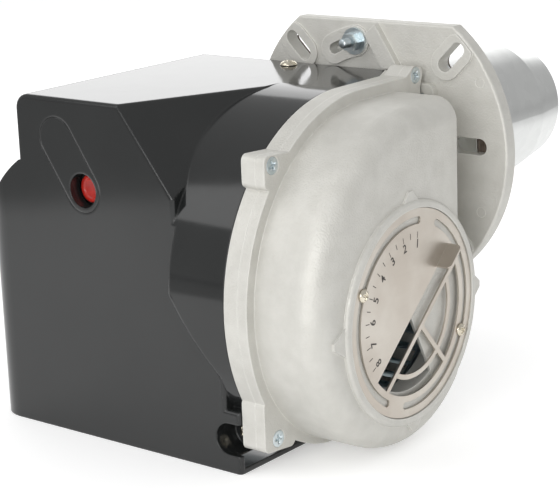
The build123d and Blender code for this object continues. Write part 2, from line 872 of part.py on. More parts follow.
def cover_block(inset, back, side):
    """Outer shape of the cover, drawn in by inset, open towards the back and the casting."""
    floor = cover_floor + inset
    top = cover_top - inset
    left = cover_left_x + inset
    low_x = ledge_low_x - inset
    depth = back - cover_front_y - inset
    with BuildPart(mode=Mode.PRIVATE) as block:
        with BuildSketch(at_y(back)):
            Polygon(
                (left, floor),
                (left, top),
                (box_right_x - inset, top),
                (box_right_x - inset, ledge_top_z - inset),
                (low_x, ledge_low_z - inset),
                (low_x, pocket_top_z - inset),
                (side, pocket_top_z - inset),
                (side, floor),
                align=None,
            )
        extrude(amount=depth)
        corner = block.edges().filter_by(Axis.Y).sort_by(lambda e: e.center().Z - e.center().X)
        fillet(corner[-1], radius=cover_corner_r - inset)
        with BuildSketch(facet_plane.offset(-inset)):
            Rectangle(8 * scroll_r, 8 * scroll_r)
        extrude(amount=2 * scroll_r, mode=Mode.SUBTRACT)
        if not inset:
            front = block.faces().sort_by(Axis.Y)[0]
            slant = block.faces().sort_by(lambda f: (f.normal_at() - facet_plane.z_dir).length)[0]
            rim = front.edges().filter_by(lambda e: e.center().Z > floor + 1)
            fillet(rim + slant.edges(), radius=cover_soft_r)
    with BuildPart(mode=Mode.PRIVATE) as bulge:
        with BuildLine() as outline:
            shoulder = (bulge_left_x + inset, bulge_shoulder_z)
            rise = Line((bulge_left_x + inset, floor), shoulder)
            arc = TangentArc(shoulder, (left, bulge_top_z), tangent=rise % 1)
            Polyline(arc @ 1, (left + scroll_r / 2, bulge_top_z))
            Polyline((left + scroll_r / 2, bulge_top_z), (left + scroll_r / 2, floor), rise @ 0)
        with BuildSketch(at_y(back)) as front_view:
            make_face(outline.edges())
            foot = front_view.vertices().sort_by(lambda v: v.X + v.Y)[0]
            fillet(foot, radius=bulge_foot_r - inset)
        extrude(amount=depth)
        with BuildSketch(Plane.XY.offset(floor)) as plan:
            with Locations((bulge_left_x + inset, cover_front_y + inset)):
                Rectangle(scroll_r, depth, align=(Align.MIN, Align.MIN))
            near = plan.vertices().sort_by(lambda v: v.X + v.Y)[0]
            fillet(near, radius=bulge_corner_r - inset)
        extrude(amount=2 * scroll_r, mode=Mode.INTERSECT)
    with BuildPart(mode=Mode.PRIVATE) as casing:
        with BuildSketch(at_x(wrap_hidden_x + inset)):
            scroll_face(cover_gap + inset)
            with Locations((back, top)):
                Rectangle(wrap_back_l, wrap_back_h, align=Align.MAX)
        extrude(amount=side - wrap_hidden_x - inset)
    with BuildPart(mode=Mode.PRIVATE) as wrap:
        add(casing.part)
        with BuildSketch(at_y(back)):
            Polygon(
                (box_right_x + inset, scroll_r),
                (box_right_x + inset, ledge_top_z + inset),
                (ledge_low_x + inset, ledge_low_z + inset),
                (ledge_low_x + inset, pocket_top_z + inset),
                (side, pocket_top_z + inset),
                (side, scroll_r),
                align=None,
            )
        extrude(amount=3 * scroll_r, mode=Mode.INTERSECT)
        if not inset:
            curved = wrap.edges().filter_by(GeomType.LINE, reverse=True)
            fillet(curved.filter_by(lambda e: (e @ 0).Y < cover_front_y), radius=cover_soft_r)
    with BuildPart(mode=Mode.PRIVATE) as behind:
        add(casing.part)
        with BuildSketch(at_y(back)):
            low = pocket_top_z - inset if inset else ledge_top_z
            with Locations((side, low)):
                Rectangle(2 * scroll_r, 2 * scroll_r, align=(Align.MAX, Align.MIN))
        extrude(amount=depth, mode=Mode.INTERSECT)
    return block.part + bulge.part + wrap.part + behind.part


# Front cover: moulded hood over the motor, pump and controls, open to the rear.
with BuildPart() as front_cover:
    add(cover_block(0, cover_back_y, cover_side_x))
    add(cover_block(cover_wall, cover_back_y + 1, cover_side_x + 1), mode=Mode.SUBTRACT)
    with BuildSketch(at_y(cover_front_y + pocket_depth + cover_wall)):
        with Locations((side_screw_x, side_screw_z)):
            Circle(pocket_r + cover_wall / 2)
        with Locations((cover_side_x, side_screw_z)):
            Rectangle(
                scroll_r, scroll_r, align=(Align.MIN, Align.CENTER), mode=Mode.SUBTRACT
            )
    extrude(amount=pocket_depth + cover_wall)
    with BuildSketch(at_y(cover_front_y + pocket_depth)):
        with Locations((side_screw_x, side_screw_z)):
            Circle(pocket_r)
        with Locations((side_screw_x, side_screw_z)):
            Rectangle(scroll_r, 2 * pocket_r, align=(Align.MIN, Align.CENTER))
    extrude(amount=pocket_depth, mode=Mode.SUBTRACT)
    with BuildSketch(at_y(cover_front_y + pocket_depth + cover_wall)):
        with Locations((side_screw_x, side_screw_z)):
            Circle(screw_shank_r + screw_hole_gap)
    extrude(amount=cover_wall, mode=Mode.SUBTRACT)
    with BuildSketch(Plane.XY.offset(cover_top - cover_wall)):
        with Locations((top_screw_x, top_screw_y)):
            Circle(screw_shank_r + screw_hole_gap)
    extrude(amount=cover_wall, mode=Mode.SUBTRACT)
    with BuildSketch(at_y(cover_front_y + cover_wall)):
        with Locations((insert_top_x, insert_top_z), (button_x, button_z)):
            Circle(insert_r + insert_gap)
        make_hull()
    extrude(amount=cover_wall, mode=Mode.SUBTRACT)
    with BuildSketch(Plane.XY.offset(neck_bore_r / 2)):
        saddle_face(cover_gap)
    extrude(amount=scroll_top - neck_bore_r / 2, mode=Mode.SUBTRACT)
    # Lower rear corner, open round the casting
    with BuildSketch(at_y(cover_back_y)):
        with Locations((box_right_x - cover_wall, ledge_top_z)):
            Rectangle(
                cover_side_x - box_right_x + 2 * cover_wall,
                ledge_top_z - pocket_top_z + cover_wall,
                align=(Align.MIN, Align.MAX),
            )
    extrude(amount=rear_corner_l, mode=Mode.SUBTRACT)
finish(front_cover.part, "front_cover")


# Insert: long rounded plate let into the front of the cover, with the well of the button.
with BuildPart() as cover_insert:
    with BuildSketch(at_y(cover_front_y + cover_wall)):
        with Locations((insert_top_x, insert_top_z), (button_x, button_z)):
            Circle(insert_r)
        make_hull()
    extrude(amount=cover_wall)
    with BuildSketch(at_y(cover_front_y + cover_wall)):
        with Locations((insert_top_x, insert_top_z), (button_x, button_z)):
            Circle(insert_r + insert_lip)
        make_hull()
    extrude(amount=-insert_lip_t)
    with BuildSketch(at_y(cover_front_y + cover_wall)):
        with Locations((button_x, button_z)):
            Circle(button_hole_r + well_wall)
    extrude(amount=-well_depth)
    with BuildSketch(at_y(cover_front_y)):
        with Locations((button_x, button_z)):
            Circle(button_hole_r)
    extrude(amount=-cover_wall - well_depth, mode=Mode.SUBTRACT)
finish(cover_insert.part, "cover_insert")


def pan_screw(plane, place, shank_l):
    """Pan-head cover screw seated on a plane, with a cross recess in its head."""
    with BuildPart(mode=Mode.PRIVATE) as screws:
        with BuildSketch(plane):
            with Locations(place):
                Circle(screw_head_r)
        extrude(amount=screw_head_t)
        rim = screws.faces().sort_by(Axis((0, 0, 0), plane.z_dir))[-1]
        fillet(rim.edges(), radius=screw_head_t / 2)
        with BuildSketch(plane):
            with Locations(place):
                Circle(screw_shank_r)
        extrude(amount=-shank_l)
        with BuildSketch(plane.offset(screw_head_t / 2)):
            with Locations(place):
                Rectangle(screw_head_r, screw_head_r / 5)
                Rectangle(screw_head_r / 5, screw_head_r)
        extrude(amount=screw_head_t, mode=Mode.SUBTRACT)
    return screws.part


# Cover screws: two alike, one upright through the top, one in the pocket at the lower front.
with BuildPart() as cover_screws:
    add(pan_screw(Plane.XY.offset(cover_top), (top_screw_x, top_screw_y), cover_screw_l))
    add(pan_screw(at_y(cover_front_y + pocket_depth), (side_screw_x, side_screw_z), cover_screw_l))
finish(cover_screws.part, "cover_screws")


# Reset button: red cap on a stem that slides in the control box.
with BuildPart() as reset_button:
    with BuildSketch(at_y(button_front_y)):
        with Locations((button_x, button_z)):
            Circle(button_r)
    extrude(amount=-button_head_t)
    fillet(reset_button.faces().sort_by(Axis.Y)[0].edges(), radius=button_head_t / 3)
    with BuildSketch(at_y(button_front_y + button_head_t)):
        with Locations((button_x, button_z)):
            Circle(button_stem_r)
    extrude(amount=-button_stem_l)
finish(reset_button.part, "reset_button")


# Return spring of the button, in the well of the control box.
with BuildPart() as button_spring:
    spring_l = box_front_y + spring_well_depth - button_front_y - button_head_t
    with BuildLine() as coil:
        Helix(
            pitch=(spring_l - 2 * spring_wire) / spring_turns,
            height=spring_l - 2 * spring_wire,
            radius=spring_r,
            center=(button_x, button_front_y + button_head_t + spring_wire, button_z),
            direction=(0, 1, 0),
        )
    with BuildSketch(Plane(coil.line @ 0, z_dir=coil.line % 0)):
        RegularPolygon(spring_wire, 6)
    sweep()
finish(button_spring.part, "button_spring")


# Control box: moulded case of the burner control, with the guide of the reset button.
with BuildPart() as control_box:
    with BuildSketch(at_y(box_back_y)):
        with Locations((button_x, plate_z + plate_t)):
            RectangleRounded(box_w, box_h, 4, align=(Align.CENTER, Align.MIN))
    extrude(amount=box_back_y - box_front_y)
    chamfer(control_box.faces().sort_by(Axis.Y)[0].edges(), length=2)
    with BuildSketch(at_y(box_front_y)):
        with Locations((button_x, button_z)):
            Circle(spring_well_r)
    extrude(amount=-spring_well_depth, mode=Mode.SUBTRACT)
    with BuildSketch(at_y(box_front_y)):
        with Locations((button_x, button_z)):
            Circle(button_stem_r + button_guide_gap)
    extrude(amount=-button_stem_l, mode=Mode.SUBTRACT)
finish(control_box.part, "control_box")


# Control base: plug-in base with the terminals, on the mounting plate behind the box.
with BuildPart() as control_base:
    with BuildSketch(at_y(base_back_y)):
        with Locations((button_x, plate_z + plate_t)):
            Rectangle(box_w + 2, base_h, align=(Align.CENTER, Align.MIN))
    extrude(amount=base_back_y - box_back_y)
    with BuildSketch(at_y(base_back_y)):
        with Locations((button_x, plate_z + plate_t + base_h / 2)):
            with GridLocations(box_w / 8, base_h / 2, 8, 2):
                Circle(lead_r)
    extrude(amount=base_back_y - box_back_y - 4, mode=Mode.SUBTRACT)
finish(control_base.part, "control_base")


# Mounting plate: bent sheet shelf, screwed to the motor side of the fan housing.
with BuildPart() as mounting_plate:
    with BuildSketch(Plane.XY.offset(plate_z)):
        Polygon(
            (plate_left_x, plate_front_y),
            (motor_wall_x, plate_front_y),
            (motor_wall_x, plate_notch_y),
            (plate_notch_x, plate_notch_y),
            (plate_notch_x, plate_back_y),
            (plate_left_x, plate_back_y),
            align=None,
        )
    extrude(amount=plate_t)
    with BuildSketch(at_x(motor_wall_x)):
        with Locations((plate_tab_front_y, plate_z)):
            Rectangle(plate_notch_y - plate_tab_front_y, plate_tab_top - plate_z, align=Align.MIN)
        with Locations(*[(y, plate_tab_z) for y in plate_tab_y]):
            Circle(plate_screw_r + clearance, mode=Mode.SUBTRACT)
    extrude(amount=-plate_t)
finish(mounting_plate.part, "mounting_plate")


# Plate screws: two alike, through the upright tab of the plate into the fan housing.
with BuildPart() as plate_screws:
    with BuildSketch(at_x(motor_wall_x - plate_t)):
        with Locations(*[(y, plate_tab_z) for y in plate_tab_y]):
            RegularPolygon(2 * plate_screw_r, 6)
    extrude(amount=-1.5 * plate_screw_r)
    with BuildSketch(at_x(motor_wall_x - plate_t)):
        with Locations(*[(y, plate_tab_z) for y in plate_tab_y]):
            Circle(plate_screw_r)
    extrude(amount=plate_t + casting_wall)
finish(plate_screws.part, "plate_screws")


# Ignition transformer: potted block with two high-voltage outlets on its right side.
with BuildPart() as ignition_transformer:
    with BuildSketch(Plane.XY.offset(plate_z + plate_t)):
        with Locations((transformer_x, transformer_y)):
            Rectangle(transformer_w, transformer_d, align=Align.MIN)
    extrude(amount=transformer_h)
    fillet(ignition_transformer.edges().filter_by(Axis.Z), radius=3)
    with BuildSketch(at_x(transformer_x + transformer_w)):
        with Locations(*lead_starts):
            Circle(transformer_boss_r)
    extrude(amount=transformer_boss_l)
finish(ignition_transformer.part, "ignition_transformer")


# Inlet socket: seven-pin socket under the rear edge of the plate, where the supply plugs in.
with BuildPart() as inlet_socket:
    with BuildSketch(at_y(plate_back_y)):
        with Locations((inlet_x, plate_z)):
            Rectangle(inlet_w, inlet_h, align=(Align.CENTER, Align.MAX))
    extrude(amount=inlet_d)
    with BuildSketch(at_y(plate_back_y)):
        with Locations((inlet_x, plate_z - inlet_h / 2)):
            with GridLocations(inlet_w / 8, 0, 7, 1):
                Circle(inlet_pin_r)
    extrude(amount=inlet_d - 3, mode=Mode.SUBTRACT)
finish(inlet_socket.part, "inlet_socket")


# Ignition leads: two high-voltage leads from the transformer through the neck wall.
with BuildPart() as ignition_leads:
    for place, side in zip(lead_starts, (1, -1)):
        start = (transformer_x + transformer_w + transformer_boss_l, *place)
        wall = (lead_wall_x, neck_front_y - 1, side * lead_wall_z)
        inside = (lead_wall_x, neck_front_y + neck_end_wall + 1, side * lead_wall_z)
        middle = (side * 0.6 * lead_wall_x, electrode_y / 3 - 20, side * 1.1 * lead_wall_z)
        end = (-side * electrode_x, electrode_y, electrode_z)
        with BuildLine() as lead:
            Spline(start, wall, tangents=((1, 0, 0), (0, 1, 0)))
            Line(wall, inside)
            Spline(inside, middle, end, tangents=((0, 1, 0), (0, 1, 0)))
        with BuildSketch(Plane(origin=start, z_dir=(1, 0, 0))):
            Circle(lead_r)
        sweep(path=lead.wires()[0])
finish(ignition_leads.part, "ignition_leads")


# Photocell: flame detector plugged into the side of the neck.
with BuildPart() as photocell:
    with BuildSketch(at_x(photocell_x)):
        with Locations((photocell_y, photocell_z)):
            Circle(photocell_r)
    extrude(amount=-photocell_l)
    with BuildSketch(at_x(photocell_x - photocell_l)):
        with Locations((photocell_y, photocell_z)):
            Circle(photocell_cap_r)
    extrude(amount=-photocell_cap_l)
finish(photocell.part, "photocell")


# Fan wheel: drum of curved blades between a back plate and a front ring, on a hub.
with BuildPart() as fan_wheel:
    with BuildSketch(at_x(fan_x)):
        with Locations((fan_y, fan_z)):
            Circle(fan_r)
    extrude(amount=fan_sheet)
    with BuildSketch(at_x(fan_x)):
        with Locations((fan_y, fan_z)):
            Circle(fan_hub_r)
    extrude(amount=fan_hub_l)
    with BuildSketch(at_x(fan_x + fan_w - fan_sheet)):
        with Locations((fan_y, fan_z)):
            Circle(fan_r)
            Circle(blade_inner_r, mode=Mode.SUBTRACT)
    extrude(amount=fan_sheet)
    with BuildLine() as blade_outline:
        root = (blade_inner_r + 1, 0)
        tip = (fan_r - 1, blade_hook)
        outer = ThreePointArc(root, (blade_inner_r + 6, blade_hook / 6), tip)
        root = (blade_inner_r + 1, blade_t)
        tip = (fan_r - 1.5, blade_hook + blade_t)
        inner = ThreePointArc(root, (blade_inner_r + 5.5, blade_t + blade_hook / 6), tip)
        Line(outer @ 0, inner @ 0)
        Line(outer @ 1, inner @ 1)
    with BuildSketch(mode=Mode.PRIVATE) as blade:
        make_face(blade_outline.edges())
    with BuildSketch(at_x(fan_x)):
        with Locations((fan_y, fan_z)):
            with PolarLocations(0, blade_count):
                add(blade.sketch)
    extrude(amount=fan_w)
    with BuildSketch(at_x(fan_x)):
        with Locations((fan_y, fan_z)):
            Circle(shaft_r + running_gap)
    extrude(amount=fan_w, mode=Mode.SUBTRACT)
finish(fan_wheel.part, "fan_wheel")


def disc(radius, hole, start, length):
    """Ring or disc round the fan axis, from a position along X, over a length."""
    with BuildSketch(at_x(start)) as section:
        with Locations((fan_y, fan_z)):
            Circle(radius)
            if hole:
                Circle(hole, mode=Mode.SUBTRACT)
    extrude(section.sketch, amount=length)


# Motor shaft with the rotor pressed on it.
with BuildPart() as motor_shaft:
    disc(shaft_r, 0, motor_shaft_rear_x, motor_shaft_front_x - motor_shaft_rear_x)
finish(motor_shaft.part, "motor_shaft")

with BuildPart() as motor_rotor:
    disc(rotor_r, shaft_r + thread_gap, stator_x + (stator_l - rotor_l) / 2, rotor_l)
finish(motor_rotor.part, "motor_rotor")


# Motor can and its two end shields.
with BuildPart() as motor_can:
    disc(motor_r, motor_r - motor_sheet, motor_rear_x, motor_wall_x - shield_t - motor_rear_x)
finish(motor_can.part, "motor_can")

with BuildPart() as front_shield:
    disc(motor_r, shaft_hole_r, motor_wall_x - shield_t, shield_t)
    with BuildSketch(at_x(motor_wall_x - shield_t)):
        with Locations((fan_y, fan_z)):
            Circle(bearing_r + running_gap)
    extrude(amount=bearing_w, mode=Mode.SUBTRACT)
    with BuildSketch(at_x(motor_wall_x)):
        with Locations((fan_y, fan_z)):
            with PolarLocations(motor_bolt_ring, 4, 45):
                Circle(motor_bolt_r + thread_gap)
    extrude(amount=-shield_t, mode=Mode.SUBTRACT)
finish(front_shield.part, "front_shield")

with BuildPart() as rear_shield:
    disc(motor_r, shaft_hole_r, motor_rear_x - rear_shield_t, rear_shield_t)
    with BuildSketch(at_x(motor_rear_x)):
        with Locations((fan_y, fan_z)):
            Circle(bearing_r + running_gap)
    extrude(amount=-bearing_w, mode=Mode.SUBTRACT)
    disc(pump_collar_r, pump_hub_r, motor_rear_x - rear_shield_t - pump_collar_l, pump_collar_l)
finish(rear_shield.part, "rear_shield")


# Stator core and its windings.
with BuildPart() as motor_stator:
    disc(motor_r - motor_sheet - running_gap, rotor_r + air_gap, stator_x, stator_l)
finish(motor_stator.part, "motor_stator")

with BuildPart() as motor_windings:
    disc(winding_outer_r, winding_inner_r, stator_x - winding_l, winding_l)
    disc(winding_outer_r, winding_inner_r, stator_x + stator_l, winding_l)
finish(motor_windings.part, "motor_windings")


# Bearings: two alike, one in each shield.
with BuildPart() as motor_bearings:
    disc(bearing_r, shaft_r + running_gap, motor_rear_x - bearing_w, bearing_w)
    disc(bearing_r, shaft_r + running_gap, motor_wall_x - shield_t, bearing_w)
finish(motor_bearings.part, "motor_bearings")


# Motor bolts: four alike, from inside the scroll into the front shield.
with BuildPart() as motor_bolts:
    with BuildSketch(at_x(motor_wall_x + casting_wall)):
        with Locations((fan_y, fan_z)):
            with PolarLocations(motor_bolt_ring, 4, 45):
                Circle(motor_bolt_r)
    extrude(amount=-(casting_wall + shield_t))
    with BuildSketch(at_x(motor_wall_x + casting_wall)):
        with Locations((fan_y, fan_z)):
            with PolarLocations(motor_bolt_ring, 4, 45):
                RegularPolygon(motor_bolt_head_r, 6)
    extrude(amount=motor_bolt_head_t)
finish(motor_bolts.part, "motor_bolts")


# Coupling between the motor shaft and the pump shaft.
with BuildPart() as pump_coupling:
    disc(coupling_r, shaft_r + thread_gap, coupling_x, coupling_l)
finish(pump_coupling.part, "pump_coupling")

with BuildPart() as pump_shaft:
    disc(shaft_r, 0, pump_shaft_x, pump_shaft_l)
finish(pump_shaft.part, "pump_shaft")


# Fuel pump: body with the hub that sits in the collar of the rear shield.
with BuildPart() as fuel_pump:
    with BuildSketch(at_x(pump_x)):
        with Locations((fan_y, fan_z)):
            RectangleRounded(2 * pump_half, 2 * pump_half, pump_half / 4)
    extrude(amount=-pump_l)
    disc(pump_hub_r - running_gap, pump_hub_bore_r, pump_x, pump_hub_l)
    with BuildSketch(at_x(pump_x)):
        with Locations((fan_y, fan_z)):
            Circle(shaft_r + running_gap)
    extrude(amount=pump_shaft_x - pump_x - 1, mode=Mode.SUBTRACT)
    with BuildSketch(at_x(pump_x - pump_l)):
        with Locations((fan_y, fan_z)):
            with GridLocations(2 * lid_screw_place, 2 * lid_screw_place, 2, 2):
                Circle(plate_screw_r + thread_gap)
    extrude(amount=pump_l / 3, mode=Mode.SUBTRACT)
finish(fuel_pump.part, "fuel_pump")


# Lid of the pump with its four screws.
with BuildPart() as pump_lid:
    with BuildSketch(at_x(pump_x - pump_l)):
        with Locations((fan_y, fan_z)):
            RectangleRounded(2 * pump_lid_half, 2 * pump_lid_half, pump_lid_half / 4)
            with GridLocations(2 * lid_screw_place, 2 * lid_screw_place, 2, 2):
                Circle(plate_screw_r + clearance, mode=Mode.SUBTRACT)
    extrude(amount=-pump_lid_t)
finish(pump_lid.part, "pump_lid")

with BuildPart() as lid_screws:
    with BuildSketch(at_x(pump_x - pump_l - pump_lid_t)):
        with Locations((fan_y, fan_z)):
            with GridLocations(2 * lid_screw_place, 2 * lid_screw_place, 2, 2):
                Circle(plate_screw_r)
    extrude(amount=pump_lid_t + pump_l / 3)
    with BuildSketch(at_x(pump_x - pump_l - pump_lid_t)):
        with Locations((fan_y, fan_z)):
            with GridLocations(2 * lid_screw_place, 2 * lid_screw_place, 2, 2):
                Circle(2 * plate_screw_r)
                RegularPolygon(plate_screw_r, 6, mode=Mode.SUBTRACT)
    extrude(amount=-plate_screw_r)
finish(lid_screws.part, "lid_screws")


# Solenoid valve of the pump: stem with its nut, and the coil that slips over it.
with BuildPart() as solenoid_stem:
    with BuildSketch(at_x(pump_x - pump_l - pump_lid_t)):
        with Locations((fan_y, coil_z)):
            Circle(stem_r)
    extrude(amount=-stem_l)
    with BuildSketch(at_x(pump_x - pump_l - pump_lid_t - coil_l)):
        with Locations((fan_y, coil_z)):
            RegularPolygon(1.5 * stem_r, 6)
    extrude(amount=coil_l - stem_l + 2)
finish(solenoid_stem.part, "solenoid_stem")

with BuildPart() as solenoid_coil:
    with BuildSketch(at_x(pump_x - pump_l - pump_lid_t)):
        with Locations((fan_y, coil_z)):
            RectangleRounded(coil_w, coil_w, coil_w / 6)
            Circle(stem_r + clearance, mode=Mode.SUBTRACT)
    extrude(amount=-coil_l)
finish(solenoid_coil.part, "solenoid_coil")


# Hose nipples: two alike, feed and return, on the rear of the pump.
with BuildPart() as hose_nipples:
    with BuildSketch(at_y(fan_y + pump_half)):
        with Locations(*[(x, nipple_z) for x in nipple_xs]):
            RegularPolygon(1.4 * nipple_r, 6)
    extrude(amount=-nipple_l / 3)
    with BuildSketch(at_y(fan_y + pump_half)):
        with Locations(*[(x, nipple_z) for x in nipple_xs]):
            Circle(nipple_r)
    extrude(amount=-nipple_l)
finish(hose_nipples.part, "hose_nipples")


# Fuel line: bent copper pipe from the pump to the block of the nozzle line.
with BuildPart() as fuel_line:
    with BuildLine():
        FilletPolyline(
            (pipe_x, pipe_y, fan_z + pump_half),
            (pipe_x, pipe_y, pipe_z),
            (0, pipe_y, pipe_z),
            (0, pipe_y, -line_block_w / 2),
            radius=pipe_bend_r,
        )
    with BuildSketch(Plane.XY.offset(fan_z + pump_half)):
        with Locations((pipe_x, pipe_y)):
            Circle(pipe_r)
    sweep()
finish(fuel_line.part, "fuel_line")


# Nozzle line: pipe on the axis of the tube, with the block where the fuel enters.
with BuildPart() as nozzle_line:
    with BuildSketch(at_y(line_block_y + line_block_l)):
        RectangleRounded(line_block_w, line_block_w, 2)
    extrude(amount=line_block_l)
    with BuildSketch(at_y(line_end_y)):
        Circle(line_r)
    extrude(amount=line_end_y - line_block_y - line_block_l)
finish(nozzle_line.part, "nozzle_line")

with BuildPart() as line_nuts:
    for y in (neck_front_y, neck_front_y + neck_end_wall + line_nut_t):
        with BuildSketch(at_y(y)):
            RegularPolygon(line_nut_r, 6)
            Circle(line_r + thread_gap, mode=Mode.SUBTRACT)
        extrude(amount=line_nut_t)
finish(line_nuts.part, "line_nuts")

with BuildPart() as nozzle_holder:
    with BuildSketch(at_y(holder_end_y)):
        Circle(holder_r)
    extrude(amount=holder_end_y - line_end_y)
finish(nozzle_holder.part, "nozzle_holder")

with BuildPart() as nozzle:
    with BuildSketch(at_y(holder_end_y)):
        RegularPolygon(nozzle_hex_r, 6)
    extrude(amount=-nozzle_hex_l)
    with BuildSketch(at_y(holder_end_y + nozzle_hex_l)):
        Circle(nozzle_neck_r)
    with BuildSketch(at_y(holder_end_y + nozzle_hex_l + nozzle_tip_l)):
        Circle(nozzle_tip_r)
    loft()
finish(nozzle.part, "nozzle")


# Ignition electrodes: two porcelain rods with bent wires, held by a clamp on the holder.
with BuildPart() as electrodes:
    with BuildSketch(at_y(electrode_y)):
        with Locations((electrode_x, electrode_z), (-electrode_x, electrode_z)):
            Circle(electrode_r)
    extrude(amount=-electrode_l)
finish(electrodes.part, "electrodes")

with BuildPart() as electrode_wires:
    for side in (-1, 1):
        points = [(side * x, y, z) for x, y, z in wire_points]
        with BuildLine() as wire:
            FilletPolyline(*points, radius=3 * wire_r)
        with BuildSketch(at_y(points[0][1])):
            with Locations((points[0][0], points[0][2])):
                Circle(wire_r)
        sweep(path=wire.wires()[0])
finish(electrode_wires.part, "electrode_wires")

with BuildPart() as electrode_clamp:
    with BuildSketch(at_y(clamp_y + clamp_t)):
        Circle(holder_r + 4)
        with Locations((electrode_x, electrode_z), (-electrode_x, electrode_z)):
            Circle(electrode_r + 3)
        with Locations((0, electrode_z)):
            Rectangle(2 * electrode_x, electrode_r * 2)
        for angle in leg_angles:
            with Locations(Rotation(0, 0, angle)):
                Rectangle(clamp_arm_r, clamp_arm_w, align=(Align.MIN, Align.CENTER))
        with Locations((electrode_x, electrode_z), (-electrode_x, electrode_z)):
            Circle(electrode_r + thread_gap, mode=Mode.SUBTRACT)
        Circle(holder_r + thread_gap, mode=Mode.SUBTRACT)
    extrude(amount=clamp_t)
finish(electrode_clamp.part, "electrode_clamp")


# Diffuser disc: slotted plate ahead of the nozzle, on three legs from the clamp.
with BuildPart() as diffuser_disc:
    with BuildSketch(at_y(diffuser_y + diffuser_t)):
        Circle(diffuser_r)
        Circle(diffuser_hole_r, mode=Mode.SUBTRACT)
        with PolarLocations(diffuser_slot_r, diffuser_slots, 180 / diffuser_slots):
            SlotCenterToCenter(diffuser_slot_l, diffuser_slot_w, mode=Mode.SUBTRACT)
    extrude(amount=diffuser_t)
    with BuildSketch(at_y(diffuser_y)):
        for angle in leg_angles:
            with Locations(Rotation(0, 0, angle)):
                with Locations((leg_r, 0)):
                    Rectangle(diffuser_t, leg_w)
    extrude(amount=diffuser_y - clamp_y - clamp_t)
finish(diffuser_disc.part, "diffuser_disc")


# Starting capacitor of the motor, in a clip on the motor can.
with BuildPart() as capacitor:
    with BuildSketch(at_x(capacitor_x)):
        with Locations((capacitor_y, capacitor_z)):
            Circle(capacitor_r)
    extrude(amount=capacitor_l)
    chamfer(capacitor.faces().filter_by(Axis.X).edges(), length=capacitor_r / 10)
finish(capacitor.part, "capacitor")

with BuildPart() as capacitor_clip:
    with BuildSketch(at_x(capacitor_x + (capacitor_l - clip_w) / 2)):
        with Locations((capacitor_y, capacitor_z)):
            Circle(capacitor_r + clip_t)
        Polygon(
            (capacitor_y, capacitor_z - 2 * clip_t),
            (capacitor_y, capacitor_z + 2 * clip_t),
            (fan_y, fan_z + 2 * clip_t),
            (fan_y, fan_z - 2 * clip_t),
            align=None,
        )
        with Locations((fan_y, fan_z)):
            Circle(motor_r + running_gap, mode=Mode.SUBTRACT)
        with Locations((capacitor_y, capacitor_z)):
            Circle(capacitor_r + thread_gap, mode=Mode.SUBTRACT)
    extrude(amount=clip_w)
finish(capacitor_clip.part, "capacitor_clip")
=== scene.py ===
import math

import bpy
import numpy as np
from mathutils import Matrix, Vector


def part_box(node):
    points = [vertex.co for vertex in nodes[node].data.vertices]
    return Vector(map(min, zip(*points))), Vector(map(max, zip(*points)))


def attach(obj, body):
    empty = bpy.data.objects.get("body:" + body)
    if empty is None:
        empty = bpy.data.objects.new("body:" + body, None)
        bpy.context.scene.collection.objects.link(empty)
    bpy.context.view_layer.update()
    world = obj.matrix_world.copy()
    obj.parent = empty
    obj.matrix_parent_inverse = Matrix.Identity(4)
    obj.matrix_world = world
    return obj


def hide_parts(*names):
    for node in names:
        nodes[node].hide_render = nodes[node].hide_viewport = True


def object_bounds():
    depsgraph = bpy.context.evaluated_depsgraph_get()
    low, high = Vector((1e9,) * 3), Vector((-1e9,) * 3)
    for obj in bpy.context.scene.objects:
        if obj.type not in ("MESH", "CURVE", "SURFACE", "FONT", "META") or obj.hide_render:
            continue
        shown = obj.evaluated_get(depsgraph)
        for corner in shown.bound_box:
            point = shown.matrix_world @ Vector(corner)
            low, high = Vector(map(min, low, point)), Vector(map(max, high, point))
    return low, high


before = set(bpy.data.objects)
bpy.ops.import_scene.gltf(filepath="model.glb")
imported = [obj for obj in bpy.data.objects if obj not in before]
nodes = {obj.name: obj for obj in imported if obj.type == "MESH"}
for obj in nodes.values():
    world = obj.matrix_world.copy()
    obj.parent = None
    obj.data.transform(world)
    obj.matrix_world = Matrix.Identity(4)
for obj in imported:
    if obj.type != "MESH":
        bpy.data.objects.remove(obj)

cad_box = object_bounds()


# Castings: the fan housing, the fan cover, the flange and the two motor shields.
# Die-cast aluminium, blasted to a fine even grain, with a painted highlight that makes its edges paler.
# The solids are the imported ones; the grain is in the finish.
def start_finish(name):
    """A new finish: its material, node tree, shader and the piece's Object coordinates."""
    material = bpy.data.materials.new(name)
    material.use_nodes = True
    tree = material.node_tree
    place = tree.nodes.new("ShaderNodeTexCoord").outputs["Object"]
    return material, tree, tree.nodes["Principled BSDF"], place


def mottle(tree, place, scale, detail=4.0, stretch=(1.0, 1.0, 1.0)):
    """Noise from 0 to 1 over the piece, with scale in cells per metre, drawn out by stretch."""
    mapping = tree.nodes.new("ShaderNodeMapping")
    mapping.inputs["Scale"].default_value = stretch
    noise = tree.nodes.new("ShaderNodeTexNoise")
    noise.inputs["Scale"].default_value = scale
    noise.inputs["Detail"].default_value = detail
    tree.links.new(place, mapping.inputs["Vector"])
    tree.links.new(mapping.outputs["Vector"], noise.inputs["Vector"])
    return noise.outputs["Fac"]


def colour_between(tree, shader, value, dark, light, span=(0.35, 0.65)):
    """Base colour that goes from dark to light as value goes over span."""
    ramp = tree.nodes.new("ShaderNodeValToRGB")
    for stop, position, colour in zip(ramp.color_ramp.elements, span, (dark, light)):
        stop.position = position
        stop.color = (*colour, 1.0)
    tree.links.new(value, ramp.inputs["Fac"])
    tree.links.new(ramp.outputs["Color"], shader.inputs["Base Color"])


